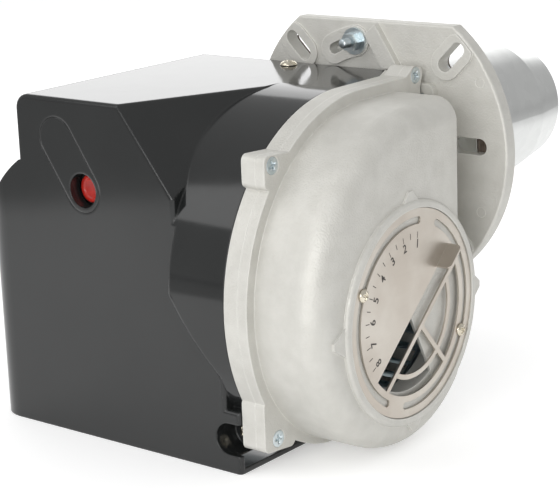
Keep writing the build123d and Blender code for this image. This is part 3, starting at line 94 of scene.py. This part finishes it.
def rough_between(tree, shader, value, low, high):
    """Roughness that goes from low to high with value."""
    span = tree.nodes.new("ShaderNodeMapRange")
    span.inputs["To Min"].default_value = low
    span.inputs["To Max"].default_value = high
    tree.links.new(value, span.inputs["Value"])
    tree.links.new(span.outputs["Result"], shader.inputs["Roughness"])


def relief(tree, shader, value, depth, edge=0.0):
    """Bump of a depth in metres from value, over corners that are softened by edge metres."""
    bump = tree.nodes.new("ShaderNodeBump")
    bump.inputs["Distance"].default_value = depth
    tree.links.new(value, bump.inputs["Height"])
    if edge:
        soft = tree.nodes.new("ShaderNodeBevel")
        soft.samples = 6
        soft.inputs["Radius"].default_value = edge
        tree.links.new(soft.outputs["Normal"], bump.inputs["Normal"])
    tree.links.new(bump.outputs["Normal"], shader.inputs["Normal"])


def painted_edge_highlights(tree, shader, reach, strength, colour):
    """Painted highlight along edges: lightens the base colour by how far the normal, rounded over reach
    metres, leans from the face's own, which is nothing on a flat face and most on a sharp corner."""
    soft = tree.nodes.new("ShaderNodeBevel")
    soft.samples = 6
    soft.inputs["Radius"].default_value = reach
    own = tree.nodes.new("ShaderNodeNewGeometry")
    lean = tree.nodes.new("ShaderNodeVectorMath")
    lean.operation = "DISTANCE"
    tree.links.new(soft.outputs["Normal"], lean.inputs[0])
    tree.links.new(own.outputs["Normal"], lean.inputs[1])
    amount = tree.nodes.new("ShaderNodeMath")
    amount.operation = "MULTIPLY"
    amount.use_clamp = True
    amount.inputs[1].default_value = strength
    tree.links.new(lean.outputs["Value"], amount.inputs[0])
    mixed = tree.nodes.new("ShaderNodeMix")
    mixed.data_type = "RGBA"
    tree.links.new(amount.outputs["Value"], mixed.inputs["Factor"])
    tree.links.new(shader.inputs["Base Color"].links[0].from_socket, mixed.inputs["A"])
    mixed.inputs["B"].default_value = (*colour, 1.0)
    tree.links.new(mixed.outputs["Result"], shader.inputs["Base Color"])


def dress(material, *names):
    """Gives CAD nodes a finish."""
    for name in names:
        if not nodes[name].material_slots:
            nodes[name].data.materials.append(material)
        for place in nodes[name].material_slots:
            place.material = material


casting, tree, shader, place = start_finish("blasted_casting")
shader.inputs["Metallic"].default_value = 0.35
grain = mottle(tree, place, 900.0, 6.0)
colour_between(tree, shader, mottle(tree, place, 90.0, 8.0), (0.60, 0.59, 0.55), (0.645, 0.635, 0.595))
rough_between(tree, shader, mottle(tree, place, 220.0), 0.42, 0.62)
relief(tree, shader, grain, 0.0003, 0.0007)
# Painted highlight: the casting's edges are lightened in the base colour, as if light caught them.
painted_edge_highlights(tree, shader, 0.0014, 1.0, (0.78, 0.77, 0.73))
dress(casting, "fan_housing", "fan_cover", "flange", "front_shield", "rear_shield")


# Casting marks on the flange: two round ejector marks, left by the die's pins.
# Each is a low ring of metal, a half-round profile carried round a circle.
MARK_PLACES = ((0.0754, 0.0426), (0.0760, -0.0356))
MARK_R = 0.0030
MARK_RIM = 0.00035
MARK_FLATTENED = 0.7
MARK_SUNK = 0.0001
FLANGE_T = 0.009
FLANGE_FACE_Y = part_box("flange_gasket")[0].y - FLANGE_T


def new_piece(name, points, faces, material, body):
    """A piece from point and face arrays. The sum of its faces' tetrahedra to the origin is six
    times its volume, and where that is negative its faces are turned to point outwards."""
    points = np.asarray(points, float)
    corners = [np.asarray(face) for face in faces]
    volume = 0.0
    for face in corners:
        a = points[face[:, 0]]
        for i in range(1, face.shape[1] - 1):
            volume += np.einsum("ij,ij->", a, np.cross(points[face[:, i]], points[face[:, i + 1]]))
    if volume < 0:
        corners = [face[:, ::-1] for face in corners]
    mesh = bpy.data.meshes.new(name)
    mesh.from_pydata(points.tolist(), [], [f for face in corners for f in face.tolist()])
    mesh.polygons.foreach_set("use_smooth", np.ones(len(mesh.polygons), bool))
    mesh.materials.append(material)
    piece = bpy.data.objects.new(name, mesh)
    bpy.context.scene.collection.objects.link(piece)
    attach(piece, body)
    return piece


def hoops(rings, first=0):
    """Faces between rings of points, an array (rings, round, 3), each ring closed on itself."""
    count, around = rings.shape[:2]
    index = np.arange(count * around).reshape(count, around) + first
    following = np.roll(index, -1, axis=1)
    return np.stack([index[:-1], following[:-1], following[1:], index[1:]], -1).reshape(-1, 4)


def closed_hoops(rings, first=0):
    """Points and faces of a closed skin: the rings, and a pole in the middle of each end."""
    count, around = rings.shape[:2]
    points = np.concatenate([rings.reshape(-1, 3), rings[0].mean(0)[None], rings[-1].mean(0)[None]])
    index = np.arange(around) + first
    following = np.roll(index, -1)
    start = np.full(around, first + count * around)
    last = index + (count - 1) * around
    end = np.roll(last, -1)
    caps = np.concatenate([np.stack([start, following, index], -1), np.stack([start + 1, last, end], -1)])
    return points, [hoops(rings, first), caps]


turn = np.linspace(0, 2 * np.pi, 48, endpoint=False)
lift = np.linspace(0, np.pi, 9)[:, None]
mark_rings, mark_faces = [], []
for count, (x, z) in enumerate(MARK_PLACES):
    radius = MARK_R + MARK_RIM * np.cos(lift)
    height = FLANGE_FACE_Y + MARK_SUNK - MARK_FLATTENED * MARK_RIM * np.sin(lift) + 0.0 * turn
    rings = np.stack([x + radius * np.cos(turn), height, z + radius * np.sin(turn)], -1)
    rings = np.concatenate([rings, rings[:1]])
    mark_faces.append(hoops(rings, count * rings[..., 0].size))
    mark_rings.append(rings.reshape(-1, 3))
new_piece(
    "ejector_marks", np.concatenate(mark_rings), mark_faces, casting, "burner"
)


# Damper disc: satin sheet steel, ground in one direction, with a numbered scale.
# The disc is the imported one; the scale is laid a hair above its face and turns with it.
# Places on it are turned from +Y, seen from the air side, and the scale starts above the axis.
FAN_AXIS = np.array([-0.0953, -0.0758])
DISC_FACE = 0.0826
MARK_LIFT = 0.00004
TICKS = 15
TICK_FIRST = 83.5
TICK_STEP = 9.0
TICK_RADII = (0.0435, 0.0470)
TICK_HALF_W = 0.00024
NUMERALS = 8
NUMERAL_FIRST = 83.0
NUMERAL_R = 0.0400
NUMERAL_SIZE = 0.0070
NUMERAL_WEIGHT = 0.00012

disc_sheet, tree, shader, place = start_finish("satin_disc_sheet")
shader.inputs["Metallic"].default_value = 0.9
brushed = mottle(tree, place, 500.0, 6.0, (1.0, 0.06, 1.0))
colour_between(tree, shader, mottle(tree, place, 30.0, 3.0), (0.55, 0.50, 0.44), (0.64, 0.60, 0.54))
rough_between(tree, shader, brushed, 0.30, 0.44)
relief(tree, shader, brushed, 0.00001, 0.0003)
dress(disc_sheet, "damper_disc")

ink, tree, shader, place = start_finish("dial_marking")
colour_between(tree, shader, mottle(tree, place, 900.0), (0.035, 0.03, 0.027), (0.07, 0.06, 0.055))
shader.inputs["Roughness"].default_value = 0.6


def on_disc(radial, across, angle):
    """Points on the disc's face from distances along a radius and across it to the right."""
    up = np.stack([np.cos(angle), np.sin(angle)], -1)
    right = np.stack([np.sin(angle), -np.cos(angle)], -1)
    flat = FAN_AXIS + radial[..., None] * up + across[..., None] * right
    return np.concatenate([np.full(flat.shape[:-1] + (1,), DISC_FACE + MARK_LIFT), flat], -1)


tick_angles = np.radians(TICK_FIRST + TICK_STEP * np.arange(TICKS))[:, None]
radial = np.array(TICK_RADII + TICK_RADII[::-1])[None].repeat(TICKS, 0)
across = TICK_HALF_W * np.array([-1.0, -1.0, 1.0, 1.0])[None].repeat(TICKS, 0)
ticks = on_disc(radial, across, tick_angles.repeat(4, 1))
tick_faces = np.arange(4 * TICKS).reshape(TICKS, 4)[:, ::-1]
mark_points, mark_faces = [ticks.reshape(-1, 3)], tick_faces.tolist()
for count in range(NUMERALS):
    curve = bpy.data.curves.new(f"numeral_{count + 1}", "FONT")
    curve.body = str(count + 1)
    curve.size = NUMERAL_SIZE
    curve.align_x = "CENTER"
    curve.align_y = "CENTER"
    curve.offset = NUMERAL_WEIGHT
    writing = bpy.data.objects.new(curve.name, curve)
    bpy.context.scene.collection.objects.link(writing)
    bpy.context.view_layer.update()
    flat = bpy.data.meshes.new_from_object(writing)
    shape = np.zeros(3 * len(flat.vertices))
    flat.vertices.foreach_get("co", shape)
    shape = shape.reshape(-1, 3)
    angle = np.full(len(shape), math.radians(NUMERAL_FIRST + 2 * TICK_STEP * count))
    first = sum(len(p) for p in mark_points)
    mark_faces += [[first + v for v in polygon.vertices] for polygon in flat.polygons]
    mark_points.append(on_disc(NUMERAL_R + shape[:, 1], shape[:, 0], angle))
    bpy.data.objects.remove(writing)
    bpy.data.curves.remove(curve)
    bpy.data.meshes.remove(flat)
scale_mesh = bpy.data.meshes.new("dial_scale")
scale_mesh.from_pydata(np.concatenate(mark_points).tolist(), [], mark_faces)
scale_mesh.materials.append(ink)
dial_scale = bpy.data.objects.new("dial_scale", scale_mesh)
bpy.context.scene.collection.objects.link(dial_scale)
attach(dial_scale, "damper")


# Screws with a cross recess: four countersunk in the fan cover, two pan heads on the damper
# disc and two pan heads on the hood. Bright zinc or nickel plate on steel.
# Each is a turned profile whose top is pressed in by the cross.
def plated(name, dark, light, rough):
    """Bright plating: metal with faint clouds and a fine skin."""
    material, tree, shader, place = start_finish(name)
    shader.inputs["Metallic"].default_value = 1.0
    colour_between(tree, shader, mottle(tree, place, 300.0), dark, light)
    rough_between(tree, shader, mottle(tree, place, 900.0), rough, rough + 0.12)
    relief(tree, shader, mottle(tree, place, 2500.0, 2.0), 0.000004, 0.0002)
    return material


zinc = plated("bright_zinc", (0.58, 0.66, 0.69), (0.72, 0.78, 0.80), 0.24)
nickel = plated("bright_nickel", (0.66, 0.60, 0.48), (0.80, 0.75, 0.64), 0.16)


MM = 0.001
CROSS_HALF_W = 0.13
CROSS_WALL = 0.10
CROSS_REACH = 0.56
CROSS_END = 0.16


def cross_screw(profile, depth, seat, out, cross_turn):
    """Rings of a screw: the profile, (radius, height) in millimetres, turned about out at seat.
    The head's top is lowered by depth in a cross: where a point's smaller distance to the two
    arms' lines is under CROSS_HALF_W, and its radius under CROSS_REACH, of the head's radius."""
    out = np.asarray(out, float)
    side = np.array([0.0, 0.0, 1.0]) if abs(out[2]) < 0.5 else np.array([1.0, 0.0, 0.0])
    other = np.cross(out, side)
    around = np.linspace(0, 2 * np.pi, 64, endpoint=False)
    widest = np.argmax(profile[:, 0])
    head_r = profile[widest, 0]
    inner = np.linspace(0.06, 0.96, 16) * head_r
    top = np.interp(inner, profile[: widest + 1, 0], profile[: widest + 1, 1])
    radius = np.concatenate([inner, profile[widest:, 0]])[:, None] + 0 * around
    height = np.concatenate([top, profile[widest:, 1]])[:, None] + 0 * around
    along_arm = around - cross_turn
    across = np.minimum(abs(radius * np.cos(along_arm)), abs(radius * np.sin(along_arm)))
    arm = np.clip((CROSS_HALF_W * head_r - across) / (CROSS_WALL * head_r) + 0.5, 0, 1)
    reach = np.clip((CROSS_REACH * head_r - radius) / (CROSS_END * head_r) + 0.5, 0, 1)
    on_top = (np.arange(len(radius)) < len(inner))[:, None]
    height = height - depth * arm * reach * on_top
    spoke = np.cos(around)[:, None] * side + np.sin(around)[:, None] * other
    return (np.asarray(seat) + radius[..., None] * spoke + height[..., None] * out) * MM


def turned_set(name, body, material, sets, node):
    """One piece from the rings of several turned parts, in place of a CAD node."""
    points, faces, first = [], [], 0
    for rings in sets:
        skin, skin_faces = closed_hoops(rings, first)
        points.append(skin)
        faces += skin_faces
        first += len(skin)
    quads = np.concatenate(faces[0::2])
    fans = np.concatenate(faces[1::2])
    piece = new_piece(name, np.concatenate(points), [quads, fans], material, body)
    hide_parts(node)
    return piece


countersunk = np.array(
    [(0, 0), (4.6, 0), (5.0, -0.3), (2.6, -2.6), (2.5, -3.0), (2.5, -14.6), (2.1, -15.0)]
)
pan_small = np.array(
    [(0, 2.4), (1.9, 2.2), (3.2, 1.5), (3.9, 0.5), (3.9, 0.02), (1.75, 0.0), (1.75, -5.4)]
)
pan_large = np.array(
    [(0, 3.2), (2.8, 2.9), (4.5, 2.0), (5.4, 0.7), (5.4, 0.02), (2.3, 0.0), (2.3, -12.0)]
)
LUG_FACE_X = 38.0
LUG_SCREWS = ((-162.7, 18.0, 0.4), (-166.0, -138.0, 0.1), (-23.0, 46.0, 1.0), (-38.5, -135.0, 0.7))
DISC_SCREW_R = 53.6
DISC_SCREW_X = 82.7
DISC_SCREW_ANGLES = (155.0, 335.0)
TOP_SCREW_SEAT = (-54.5, -27.0, 46.0)
SIDE_SCREW_SEAT = (13.5, -163.0, -139.0)
turned_set(
    "cover_lug_screws", "burner", zinc,
    [cross_screw(countersunk, 1.6, (LUG_FACE_X, y, z), (1, 0, 0), t) for y, z, t in LUG_SCREWS],
    "fan_cover_screws",
)
disc_angles = np.radians(DISC_SCREW_ANGLES)
disc_places = FAN_AXIS / MM + DISC_SCREW_R * np.stack([np.cos(disc_angles), np.sin(disc_angles)], 1)
turned_set(
    "disc_screws", "burner", nickel,
    [cross_screw(pan_small, 1.2, (DISC_SCREW_X, y, z), (1, 0, 0), 0.6 + y) for y, z in disc_places],
    "damper_screws",
)
turned_set(
    "hood_screws", "burner", nickel,
    [
        cross_screw(pan_large, 1.7, TOP_SCREW_SEAT, (0, 0, 1), 0.3),
        cross_screw(pan_large, 1.7, SIDE_SCREW_SEAT, (0, -1, 0), 0.8),
    ],
    "cover_screws",
)


# Studs: two M6 studs in the tube's collar, with their nuts on the flange.
# Rolled thread: a radius that falls and rises once in each pitch along a helix, cut short by
# a cone at each end.
STUD_R = 3.0
STUD_CIRCLE_R = 63.3
STUD_ANGLES = (101.5, 240.0)
STUD_BACK_Y = -3.0
STUD_FRONT_Y = -27.5
END_R = 2.3
BACK_END_R = 3.0
THREAD_DEPTH = 0.45
THREAD_PITCH = 1.0
around = np.linspace(0, 2 * np.pi, 28, endpoint=False)
along = np.linspace(STUD_BACK_Y, STUD_FRONT_Y, 197)[:, None]
phase = (along / THREAD_PITCH + around / (2 * np.pi)) % 1.0
radius = STUD_R - THREAD_DEPTH * abs(2 * phase - 1)
radius = np.minimum(radius, END_R + along - STUD_FRONT_Y)
radius = np.minimum(radius, BACK_END_R + STUD_BACK_Y - along)
stud_skins = []
for angle in np.radians(STUD_ANGLES):
    x = STUD_CIRCLE_R * math.cos(angle) + radius * np.cos(around)
    z = STUD_CIRCLE_R * math.sin(angle) + radius * np.sin(around)
    stud_skins.append(np.stack([x, along + 0 * around, z], -1) * MM)
turned_set("threaded_studs", "burner", zinc, stud_skins, "tube_studs")


# Plated hardware: nuts, small screws, clips, the mounting plate and the motor's drawn can are
# bright zinc; electrode wires and bearings are nickel; the shafts are turned bare steel.
dress(zinc, "stud_nuts", "flange_screws", "plate_screws", "mounting_plate", "motor_bolts", "line_nuts")
dress(zinc, "lid_screws", "capacitor_clip", "electrode_clamp", "button_spring", "motor_can")
dress(nickel, "electrode_wires", "motor_bearings")
turned_steel = plated("turned_steel", (0.42, 0.42, 0.42), (0.55, 0.55, 0.54), 0.28)
dress(turned_steel, "motor_shaft", "pump_shaft")


# Hood: one glossy black moulding over the motor and the controls, with soft corners.
# Its skin has the faint waviness of a moulded face. The insert beside the button is alike.
gloss_black, tree, shader, place = start_finish("glossy_hood")
colour_between(tree, shader, mottle(tree, place, 14.0, 2.0), (0.013, 0.014, 0.014), (0.017, 0.018, 0.018))
rough_between(tree, shader, mottle(tree, place, 90.0, 6.0), 0.07, 0.13)
relief(tree, shader, mottle(tree, place, 25.0, 1.0), 0.00006, 0.0016)
shader.inputs["IOR"].default_value = 1.52
dress(gloss_black, "front_cover", "cover_insert")


# Controls and small electrical parts: satin black mouldings, and a grey case on the control box.
# They stand on the mounting plate under the hood, and are seen from behind.
satin_black, tree, shader, place = start_finish("satin_black_moulding")
colour_between(tree, shader, mottle(tree, place, 200.0), (0.016, 0.017, 0.017), (0.026, 0.027, 0.027))
rough_between(tree, shader, mottle(tree, place, 400.0), 0.20, 0.34)
relief(tree, shader, mottle(tree, place, 1500.0), 0.00001, 0.0005)
dress(satin_black, "control_base", "ignition_transformer", "inlet_socket")
dress(satin_black, "photocell", "solenoid_coil", "capacitor", "pump_coupling")

grey_case, tree, shader, place = start_finish("grey_control_case")
colour_between(tree, shader, mottle(tree, place, 150.0), (0.075, 0.080, 0.085), (0.10, 0.105, 0.11))
rough_between(tree, shader, mottle(tree, place, 500.0), 0.35, 0.5)
relief(tree, shader, mottle(tree, place, 1800.0), 0.00002, 0.0006)
dress(grey_case, "control_box")


# Reset button: red plastic cap with a shallow dish, on the stem that slides in the control box.
# A profile, (radius, height) in millimetres, turned about an axis that points out of the hood.
BUTTON_CENTRE = (-89.3, -173.0, -7.2)
red_plastic, tree, shader, place = start_finish("red_button_plastic")
colour_between(tree, shader, mottle(tree, place, 250.0), (0.36, 0.012, 0.008), (0.46, 0.022, 0.014))
shader.inputs["Roughness"].default_value = 0.22
shader.inputs["Subsurface Weight"].default_value = 0.2
shader.inputs["Subsurface Scale"].default_value = 0.002
relief(tree, shader, mottle(tree, place, 1200.0), 0.00001)
button_profile = np.array(
    [
        (0.3, -0.7), (4.8, -0.7), (5.3, -0.6), (5.9, -0.1), (6.3, 0.0), (7.6, 0.0),
        (8.2, -0.2), (8.6, -0.8), (8.6, -3.2), (4.0, -3.2), (4.0, -27.2), (0.5, -27.2),
    ]
)
around = np.linspace(0, 2 * np.pi, 64, endpoint=False)
button_rings = np.stack(
    [
        BUTTON_CENTRE[0] + button_profile[:, :1] * np.cos(around),
        BUTTON_CENTRE[1] - button_profile[:, 1:] + 0 * around,
        BUTTON_CENTRE[2] + button_profile[:, :1] * np.sin(around),
    ],
    -1,
)
turned_set("dished_button", "reset", red_plastic, [button_rings * MM], "reset_button")


# Blast tube and diffuser disc: galvanised sheet, drawn and rolled, with a spangle.
# The spangle is a cell pattern; the roll's faint bands run round the tube.
galvanised, tree, shader, place = start_finish("galvanised_sheet")
shader.inputs["Metallic"].default_value = 1.0
spangle = tree.nodes.new("ShaderNodeTexVoronoi")
spangle.inputs["Scale"].default_value = 160.0
tree.links.new(place, spangle.inputs["Vector"])
colour_between(tree, shader, spangle.outputs["Color"], (0.70, 0.71, 0.70), (0.74, 0.75, 0.74), (0.1, 0.9))
rolled = mottle(tree, place, 60.0, 4.0, (0.3, 5.0, 0.3))
rough_between(tree, shader, rolled, 0.26, 0.36)
relief(tree, shader, rolled, 0.000006, 0.0004)
dress(galvanised, "blast_tube", "diffuser_disc")


# Gasket: pressed brown fibre sheet between the flange and the boiler door.
# Short fibres show as a fine streaky grain.
fibre, tree, shader, place = start_finish("pressed_fibre")
strands = mottle(tree, place, 700.0, 8.0, (1.0, 1.0, 0.25))
colour_between(tree, shader, strands, (0.075, 0.055, 0.042), (0.17, 0.135, 0.11))
shader.inputs["Roughness"].default_value = 0.9
relief(tree, shader, strands, 0.0001)
dress(fibre, "flange_gasket")


# Fan wheel and motor core: the wheel is blue-grey plated sheet, the core stacked laminations.
# The laminations show as fine rings along the shaft.
wheel_sheet = plated("plated_wheel_sheet", (0.62, 0.75, 0.80), (0.74, 0.85, 0.88), 0.34)
dress(wheel_sheet, "fan_wheel")
laminated, tree, shader, place = start_finish("laminated_core")
shader.inputs["Metallic"].default_value = 0.8
sheets = tree.nodes.new("ShaderNodeTexWave")
sheets.bands_direction = "X"
sheets.inputs["Scale"].default_value = 640.0
tree.links.new(place, sheets.inputs["Vector"])
colour_between(tree, shader, sheets.outputs["Fac"], (0.12, 0.12, 0.13), (0.26, 0.26, 0.27))
shader.inputs["Roughness"].default_value = 0.45
relief(tree, shader, sheets.outputs["Fac"], 0.00005)
dress(laminated, "motor_stator", "motor_rotor")


# Windings, fuel pipe and brass fittings.
# Copper and brass, turned or drawn, lightly toned by handling.
copper = plated("drawn_copper", (0.50, 0.22, 0.12), (0.68, 0.34, 0.20), 0.30)
dress(copper, "fuel_line", "motor_windings")
brass = plated("turned_brass", (0.50, 0.35, 0.14), (0.66, 0.49, 0.22), 0.26)
dress(brass, "nozzle_line", "nozzle_holder", "nozzle", "hose_nipples", "solenoid_stem")


# Fuel pump: ground iron casting with a lid; ignition leads and electrodes in the tube.
# The leads are red-brown silicone, the electrodes glazed porcelain.
iron, tree, shader, place = start_finish("ground_pump_casting")
shader.inputs["Metallic"].default_value = 0.6
colour_between(tree, shader, mottle(tree, place, 120.0), (0.16, 0.165, 0.17), (0.24, 0.245, 0.25))
rough_between(tree, shader, mottle(tree, place, 700.0), 0.4, 0.6)
relief(tree, shader, mottle(tree, place, 1100.0, 6.0), 0.00008, 0.0006)
dress(iron, "fuel_pump", "pump_lid")
silicone, tree, shader, place = start_finish("silicone_lead")
colour_between(tree, shader, mottle(tree, place, 400.0), (0.14, 0.022, 0.015), (0.20, 0.035, 0.022))
shader.inputs["Roughness"].default_value = 0.55
relief(tree, shader, mottle(tree, place, 900.0), 0.00003)
dress(silicone, "ignition_leads")
glaze, tree, shader, place = start_finish("glazed_porcelain")
colour_between(tree, shader, mottle(tree, place, 200.0), (0.66, 0.62, 0.52), (0.76, 0.73, 0.65))
shader.inputs["Roughness"].default_value = 0.18
relief(tree, shader, mottle(tree, place, 300.0), 0.00002)
dress(glaze, "electrodes")


# Floor: a pale sweep that takes the burner's shadow. Camera, mirror and glass rays see it a little
# brighter, so that it closes up with the white world. Past its edge, mirror rays see it darker.
FLOOR_Z = cad_box[0].z
FLOOR_HALF = 6.0
SWEEP_EDGE = 0.78
SWEEP_FADE = 0.10
SWEEP_GLOW = 0.34
floor_finish, tree, shader, place = start_finish("pale_floor")
shader.inputs["Roughness"].default_value = 0.9
rays = tree.nodes.new("ShaderNodeLightPath")
away = tree.nodes.new("ShaderNodeVectorMath")
away.operation = "LENGTH"
tree.links.new(place, away.inputs[0])
fall = tree.nodes.new("ShaderNodeMapRange")
fall.interpolation_type = "SMOOTHSTEP"
fall.inputs["From Min"].default_value = SWEEP_EDGE
fall.inputs["From Max"].default_value = SWEEP_EDGE + SWEEP_FADE
tree.links.new(away.outputs["Value"], fall.inputs["Value"])
mirrored = tree.nodes.new("ShaderNodeMath")
mirrored.operation = "MULTIPLY"
tree.links.new(fall.outputs["Result"], mirrored.inputs[0])
tree.links.new(rays.outputs["Is Glossy Ray"], mirrored.inputs[1])
colour_between(tree, shader, mirrored.outputs["Value"], (0.87, 0.87, 0.87), (0.48, 0.48, 0.48), (0.0, 1.0))
seen = tree.nodes.new("ShaderNodeMath")
seen.operation = "MAXIMUM"
tree.links.new(rays.outputs["Is Camera Ray"], seen.inputs[0])
tree.links.new(rays.outputs["Is Glossy Ray"], seen.inputs[1])
either = tree.nodes.new("ShaderNodeMath")
either.operation = "MAXIMUM"
tree.links.new(seen.outputs["Value"], either.inputs[0])
tree.links.new(rays.outputs["Is Transmission Ray"], either.inputs[1])
level = tree.nodes.new("ShaderNodeMath")
level.operation = "MULTIPLY"
level.inputs[1].default_value = SWEEP_GLOW
near = tree.nodes.new("ShaderNodeMath")
near.operation = "SUBTRACT"
tree.links.new(either.outputs["Value"], near.inputs[0])
tree.links.new(mirrored.outputs["Value"], near.inputs[1])
tree.links.new(near.outputs["Value"], level.inputs[0])
shader.inputs["Emission Color"].default_value = (1.0, 1.0, 1.0, 1.0)
tree.links.new(level.outputs["Value"], shader.inputs["Emission Strength"])
corners = FLOOR_HALF * np.array([(-1, -1), (1, -1), (1, 1), (-1, 1)], float)
floor_mesh = bpy.data.meshes.new("floor")
floor_mesh.from_pydata([(x, y, FLOOR_Z) for x, y in corners], [], [(0, 1, 2, 3)])
floor_mesh.materials.append(floor_finish)
floor = bpy.data.objects.new("floor", floor_mesh)
bpy.context.scene.collection.objects.link(floor)


# World: plain white to the camera and through glass, and a grey level of light for the rest.
# Mirror rays see a lower level than matt faces are lit by.
WORLD_LIGHT = 0.74
WORLD_MIRRORED = 0.52
world = bpy.data.worlds.new("white_studio")
bpy.context.scene.world = world
world.use_nodes = True
tree = world.node_tree
rays = tree.nodes.new("ShaderNodeLightPath")
seen = tree.nodes.new("ShaderNodeMath")
seen.operation = "MAXIMUM"
tree.links.new(rays.outputs["Is Camera Ray"], seen.inputs[0])
tree.links.new(rays.outputs["Is Transmission Ray"], seen.inputs[1])
dimmed = tree.nodes.new("ShaderNodeMapRange")
dimmed.inputs["To Min"].default_value = WORLD_LIGHT
dimmed.inputs["To Max"].default_value = WORLD_MIRRORED
tree.links.new(rays.outputs["Is Glossy Ray"], dimmed.inputs["Value"])
white = tree.nodes.new("ShaderNodeMath")
white.operation = "MAXIMUM"
tree.links.new(seen.outputs["Value"], white.inputs[0])
tree.links.new(dimmed.outputs["Result"], white.inputs[1])
tree.nodes["Background"].inputs["Color"].default_value = (1.0, 1.0, 1.0, 1.0)
tree.links.new(white.outputs["Value"], tree.nodes["Background"].inputs["Strength"])


# Lamps: a soft lamp above on the left, a stronger one low in front, and a long card of light
# behind, whose reflection lies on the hood's top.
def soft_lamp(name, centre, aim, width, height, power):
    """A rectangular lamp at centre that faces aim, in metres and watts."""
    lamp = bpy.data.lights.new(name, "AREA")
    lamp.shape = "RECTANGLE"
    lamp.size = width
    lamp.size_y = height
    lamp.energy = power
    holder = bpy.data.objects.new(name, lamp)
    bpy.context.scene.collection.objects.link(holder)
    back = np.asarray(centre, float) - np.asarray(aim, float)
    back = back / np.linalg.norm(back)
    right = np.cross((0.0, 0.0, 1.0), back)
    right = right / np.linalg.norm(right)
    up = np.cross(back, right)
    turned = np.eye(4)
    turned[:3, :3] = np.stack([right, up, back], 1)
    turned[:3, 3] = centre
    holder.matrix_world = Matrix(turned.tolist())
    holder.visible_camera = False
    return holder


soft_lamp("key_lamp", (-0.9, -1.5, 1.5), (0.0, -0.05, -0.05), 1.4, 1.4, 9.0)
soft_lamp("fill_lamp", (0.7, -2.0, 0.35), (0.05, -0.05, -0.05), 1.3, 1.3, 19.0)
soft_lamp("back_card", (-1.15, 1.35, 0.62), (-0.05, -0.05, 0.05), 2.4, 0.9, 10.0)


# Camera: the photograph's own view, solved from the burner's edges and circles.
# Its three directions and its place are in the row frame.
CAMERA_PLACE = (0.63570, -0.91098, 0.22773)
CAMERA_RIGHT = (0.78819, 0.61445, -0.03470)
CAMERA_UP = (-0.13361, 0.22587, 0.96495)
CAMERA_FORWARD = (-0.60075, 0.75593, -0.26013)
lens = bpy.data.cameras.new("photo_camera")
lens.sensor_width = 36.0
lens.lens = 116.55
camera = bpy.data.objects.new("photo_camera", lens)
bpy.context.scene.collection.objects.link(camera)
stance = np.eye(4)
stance[:3, 0] = CAMERA_RIGHT
stance[:3, 1] = CAMERA_UP
stance[:3, 2] = -np.array(CAMERA_FORWARD)
stance[:3, 3] = CAMERA_PLACE
camera.matrix_world = Matrix(stance.tolist())
bpy.context.scene.camera = camera
bpy.context.scene.view_settings.view_transform = "Standard"
